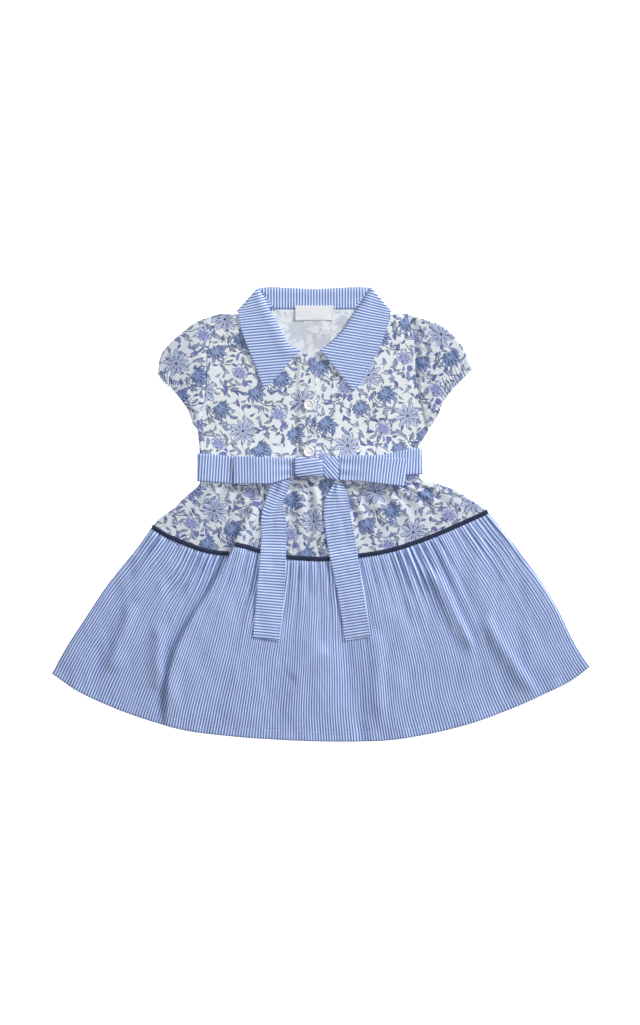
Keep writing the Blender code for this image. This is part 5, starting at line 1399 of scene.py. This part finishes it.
def button(which, x, y):
    """Turned four-hole button, sewn on through its holes."""
    base = top_of(("bodice_right_cloth",), x, y, BUTTON_RADIUS * 0.9) + 0.35
    outline = [(0.0, 0.56), (0.22, 0.56), (0.45, 0.58), (0.58, 0.64), (0.66, 0.80), (0.74, 0.96), (0.82, 1.0), (0.90, 0.97),
               (0.96, 0.86), (1.0, 0.66), (1.0, 0.50), (0.97, 0.30), (0.90, 0.12), (0.78, 0.02), (0.6, 0.0), (0.0, 0.0)]
    sides = 64
    holes = [(1.45 * math.cos(a), 1.45 * math.sin(a)) for a in np.radians([48, 138, 228, 318])]
    mesh = bpy.data.meshes.new("button_blank")
    points, faces = [], []
    for radius, height in outline[1:-1]:
        for k in range(sides):
            a = 2 * math.pi * k / sides
            points.append((radius * BUTTON_RADIUS * math.cos(a), radius * BUTTON_RADIUS * math.sin(a), height * BUTTON_THICK))
    rings = len(outline) - 2
    for r in range(rings - 1):
        for k in range(sides):
            near = (k + 1) % sides
            faces.append((r * sides + k, (r + 1) * sides + k, (r + 1) * sides + near, r * sides + near))
    faces.append(tuple(range(sides)))
    faces.append(tuple(reversed(range((rings - 1) * sides, rings * sides))))
    mesh.from_pydata(points, [], faces)
    blank = bpy.data.objects.new("button_blank", mesh)
    drill_points, drill_faces = [], []
    for hx, hy in holes:
        start = len(drill_points)
        for z in (-2.0, 5.0):
            for k in range(20):
                a = 2 * math.pi * k / 20
                drill_points.append((hx + 0.72 * math.cos(a), hy + 0.72 * math.sin(a), z))
        for k in range(20):
            near = (k + 1) % 20
            drill_faces.append((start + k, start + near, start + 20 + near, start + 20 + k))
        drill_faces.append(tuple(start + k for k in reversed(range(20))))
        drill_faces.append(tuple(start + 20 + k for k in range(20)))
    drill_mesh = bpy.data.meshes.new("drill")
    drill_mesh.from_pydata(drill_points, [], drill_faces)
    drill = bpy.data.objects.new("drill", drill_mesh)
    for thing in (blank, drill):
        bpy.context.scene.collection.objects.link(thing)
    cutter = blank.modifiers.new("holes", "BOOLEAN")
    cutter.operation, cutter.solver, cutter.object = "DIFFERENCE", "EXACT", drill
    made = bpy.data.meshes.new_from_object(blank.evaluated_get(bpy.context.evaluated_depsgraph_get()))
    points = np.empty(len(made.vertices) * 3)
    made.vertices.foreach_get("co", points)
    points = points.reshape(-1, 3) + np.array([x, y, base])
    faces = [tuple(p.vertices) for p in made.polygons]
    for thing in (blank, drill):
        bpy.data.objects.remove(thing, do_unlink=True)
    piece = make_piece("button_" + which + "_disc", points, faces, None, PEARL, "button_" + which)
    piece.data.set_sharp_from_angle(angle=math.radians(45))
    top = base + 0.56 * BUTTON_THICK
    runs = []
    for a, b in ((0, 1), (2, 3)):
        for shift in (-0.22, 0.0, 0.22):
            (ax, ay), (bx, by) = holes[a], holes[b]
            runs.append([(x + ax, y + ay + shift, top - 0.5), (x + ax * 0.8, y + ay * 0.98 + shift, top + 0.22),
                         (x + bx * 0.8, y + by * 0.98 + shift, top + 0.22), (x + bx, y + by + shift, top - 0.5)])
    return runs, base


def thread_tubes(name, runs, radius, material, sides=6):
    """Pieces of thread along short paths, as one mesh."""
    points, faces = [], []
    for run in runs:
        run = np.array(run, float)
        tangent = np.gradient(run, axis=0)
        tangent /= np.maximum(np.linalg.norm(tangent, axis=1), 1e-9)[:, None]
        side = np.cross(tangent, np.array([0.0, 0.0, 1.0]))
        side /= np.maximum(np.linalg.norm(side, axis=1), 1e-6)[:, None]
        up = np.cross(side, tangent)
        start = len(points)
        size = np.ones(len(run))
        size[0] = size[-1] = 0.45
        for k in range(len(run)):
            for a in range(sides):
                angle = 2 * math.pi * a / sides
                points.append(run[k] + (side[k] * math.cos(angle) + up[k] * math.sin(angle)) * radius * size[k])
        for k in range(len(run) - 1):
            for a in range(sides):
                near = (a + 1) % sides
                i = start + k * sides
                faces.append([i + a, i + near, i + sides + near, i + sides + a])
        faces.append([start + a for a in reversed(range(sides))])
        faces.append([start + (len(run) - 1) * sides + a for a in range(sides)])
    piece = make_piece(name, np.array(points), faces, None, material)
    return piece


def stitches(path, spacing=2.7, share=0.62, sink=0.28, lift=0.12):
    """Runs of thread along a path over a surface: each dips into the cloth at both ends."""
    path = np.array(path, float)
    marks = np.concatenate([[0.0], np.cumsum(np.linalg.norm(np.diff(path[:, :2], axis=0), axis=1))])
    at = lambda s: np.array([np.interp(s, marks, path[:, k]) for k in range(3)])
    runs = []
    for k in range(int(marks[-1] / spacing)):
        start = (k + 0.2) * spacing
        end = start + spacing * share
        run = [at(start + (end - start) * t) for t in (0.0, 0.2, 0.5, 0.8, 1.0)]
        for point, up in zip(run, (-sink, lift * 0.7, lift, lift * 0.7, -sink)):
            point[2] += up
        runs.append(run)
    return runs


# The whole dress

skirt_back()
hip_back()
skirt_xy, skirt_z = skirt_front()
hip_xy, hip_z = hip_front()
bodice_back()
left_xy, left_z = bodice_front("bodice_left_cloth", "bodice_front_left", ARMHOLE_RIGHT + SIDE_RIGHT[1:], NECK_FRONT_RIGHT, False)
right_xy, right_z = bodice_front("bodice_right_cloth", "bodice_front_right", ARMHOLE_LEFT + SIDE_LEFT[1:], NECK_FRONT_LEFT, True)
sleeves = [sleeve("sleeve_right_cloth", "sleeve_right", ARMHOLE_LEFT, SLEEVE_TOP_LEFT, CUFF_LEFT, -1, -0.35),
           sleeve("sleeve_left_cloth", "sleeve_left", ARMHOLE_RIGHT, SLEEVE_TOP_RIGHT, CUFF_RIGHT, 1, 0.35)]
collar_top, collar_part, collar_stand = collar()
piping("piping_front_cloth", "piping_front", SEAM_RIGHT, 220, 81)
piping("piping_side_cloth", "piping_front_side", SEAM_LEFT, 80, 82)
piping_back()
sash()
bow_loop("bow_loop_left_cloth", "bow_loop_left", -28.2, -91.4, [
    (0.0, -28.2, 38.0, -28.2, 57.6), (0.4, -53.0, 30.8, -53.0, 58.3), (1.0, -91.4, 30.6, -91.4, 59.5)], 0.02)
bow_loop("bow_loop_right_cloth", "bow_loop_right", 19.2, 89.8, [
    (0.0, 19.2, 34.6, 19.2, 61.4), (0.33, 42.6, 33.2, 42.6, 60.4), (1.0, 87.5, 28.0, 89.8, 56.6)], 0.08)
knot, knot_base = knot_piece("bow_knot_cloth", "bow_knot", [
    (-27.6, 39.4, 58.2, 0.72), (-25.5, 38.6, 59.0, 0.94), (-18.0, 38.2, 58.4, 1.0), (-8.0, 38.2, 57.4, 1.0),
    (0.0, 38.4, 56.6, 0.94), (2.0, 39.4, 55.6, 0.72)], 5.2, 0.14, 7.5, 63)
twist, _ = knot_piece("bow_twist_cloth", "bow_knot_twist", [
    (2.4, 39.0, 58.4, 0.6), (5.0, 36.8, 59.2, 0.9), (10.0, 35.8, 59.4, 1.0), (15.0, 34.8, 59.6, 0.85),
    (18.6, 34.8, 59.6, 0.6)], 4.4, -0.85, 5.0, 66)
tail_left = tail("bow_tail_left_cloth", "bow_tail_left", TAIL_LEFT, 67)
tail_right = tail("bow_tail_right_cloth", "bow_tail_right", TAIL_RIGHT, 68)
label()

# Sewing: each row of stitches follows the cloth that it holds
fine, white = [], []
rows = skirt_xy.shape[0]
down = along_columns(skirt_xy, skirt_z * 0, 0.0)
hem_path = []
for c in range(6, skirt_xy.shape[1] - 6, 2):
    place = down[-1, c] - HEM_DEPTH
    hem_path.append([np.interp(place, down[:, c], column) for column in (skirt_xy[:, c, 0], skirt_xy[:, c, 1], skirt_z[:, c])])
white += stitches(hem_path, 3.0)
placket = [(PLACKET_EDGE - 1.6, y) for y in np.linspace(163.0, 58.5, 60)]
fine += stitches([(x, y, top_of(("bodice_right_cloth",), x, y)) for x, y in placket])
sewn_buttons = []
for which, x, y in BUTTON_PLACES:
    runs, base = button(which, x, y)
    sewn_buttons += runs
    surface = lambda px, py: top_of(("bodice_right_cloth",), px, py)
    for side in (-0.75, 0.75):
        fine += stitches([(x + side, y + t, surface(x + side, y + t)) for t in np.linspace(-7.6, 7.6, 20)], 0.75, 0.8, 0.1, 0.12)
    for end in (-7.6, 7.6):
        fine += stitches([(x + t, y + end, surface(x + t, y + end)) for t in np.linspace(-1.0, 1.0, 5)], 1.0, 0.8, 0.1, 0.14)
for (xy, z), inset in ((tail_left, 1.3), (tail_right, 1.3)):
    width = np.linalg.norm(xy[:, 0] - xy[:, -1], axis=1)
    for edge in (0, 1):
        path = []
        for r in range(6, xy.shape[0] - 4, 3):
            share = inset / width[r] if edge == 0 else 1 - inset / width[r]
            spot = share * (xy.shape[1] - 1)
            k = int(spot)
            t = spot - k
            path.append((*(xy[r, k] * (1 - t) + xy[r, k + 1] * t), z[r, k] * (1 - t) + z[r, k + 1] * t))
        fine += stitches(path, 2.4)
    fine += stitches([(*xy[-4, k], z[-4, k]) for k in range(2, xy.shape[1] - 2)], 2.4)
collar_runs = []
for r, kind in enumerate(collar_part):
    if kind in ("left", "right") and 2 < r < len(collar_part) - 3:
        collar_runs.append((kind, collar_top[r, -1] * 0.965 + collar_top[r, -8] * 0.035 + (collar_top[r, -4] - collar_top[r, -1]) * 0.4))
for kind in ("left", "right"):
    fine += stitches([p for k, p in collar_runs if k == kind], 2.4)
for end in (2, -3):
    fine += stitches([collar_top[end, k] for k in range(collar_stand + 2, collar_top.shape[1] - 2)], 2.4)
for field, rings in sleeves:
    path = [rings[-6, k] for k in range(6, 175)]
    fine += stitches(path, 2.3)
left, low, right, high = LABEL_BOX
for x in (left + 0.9, right - 0.9):
    white += stitches([(x, y, top_of(("label_neck_tape",), x, y)) for y in np.linspace(low + 0.4, high - 0.4, 12)], 1.5, 0.6, 0.15, 0.08)
sewing_pieces = [thread_tubes("stitches_white", white, 0.17, THREAD_WHITE), thread_tubes("stitches_blue", fine, 0.15, THREAD_BLUE),
                 thread_tubes("button_threads", sewn_buttons, 0.16, THREAD_WHITE)]

# Floor, light and camera
floor_mesh = bpy.data.meshes.new("floor")
floor_mesh.from_pydata([(-3, -3, -0.0002), (3, -3, -0.0002), (3, 3, -0.0002), (-3, 3, -0.0002)], [], [(0, 1, 2, 3)])
floor_material = bpy.data.materials.new("floor_paper")
floor_material.use_nodes = True
shader = floor_material.node_tree.nodes["Principled BSDF"]
n = Nodes(floor_material.node_tree)
n.put(shader.inputs["Base Color"], n.mix(n.noise(n.add("ShaderNodeTexCoord").outputs["Object"], 3.0), (0.93, 0.93, 0.935), (0.96, 0.96, 0.965)))
shader.inputs["Roughness"].default_value = 0.95
shader.inputs["Emission Color"].default_value = (1.0, 1.0, 1.0, 1.0)
shader.inputs["Emission Strength"].default_value = FLOOR_GLOW
floor_mesh.materials.append(floor_material)
floor = bpy.data.objects.new("floor", floor_mesh)
bpy.context.scene.collection.objects.link(floor)

scene = bpy.context.scene
world = bpy.data.worlds.new("studio")
world.use_nodes = True
world.node_tree.nodes["Background"].inputs[0].default_value = (0.95, 0.975, 1.0, 1.0)
world.node_tree.nodes["Background"].inputs[1].default_value = WORLD_LIGHT
scene.world = world
for name, place, size, power, colour in LAMPS:
    light = bpy.data.lights.new(name, "AREA")
    light.shape, light.size, light.energy, light.color = "SQUARE", size, power, colour
    lamp = bpy.data.objects.new(name, light)
    lamp.location = place
    lamp.visible_camera = False
    lamp.rotation_mode = "QUATERNION"
    lamp.rotation_quaternion = (-Vector(place)).to_track_quat("-Z", "Y")
    scene.collection.objects.link(lamp)

camera_data = bpy.data.cameras.new("camera")
camera_data.lens, camera_data.sensor_width, camera_data.sensor_fit = LENS, SENSOR, "AUTO"
camera = bpy.data.objects.new("camera", camera_data)
middle_x = (PICTURE[0] / 2 - PICTURE_ORIGIN[0]) * PIXEL - BOX_CENTRE[0]
middle_y = (PICTURE_ORIGIN[1] - PICTURE[1] / 2) * PIXEL - BOX_CENTRE[1]
camera.location = (middle_x / 1000, middle_y / 1000, (LENS * PICTURE[1] * PIXEL / SENSOR + 3.0) / 1000)
camera_data.clip_start, camera_data.clip_end = 0.05, 20.0
scene.collection.objects.link(camera)
scene.camera = camera
scene.view_settings.view_transform = "Standard"
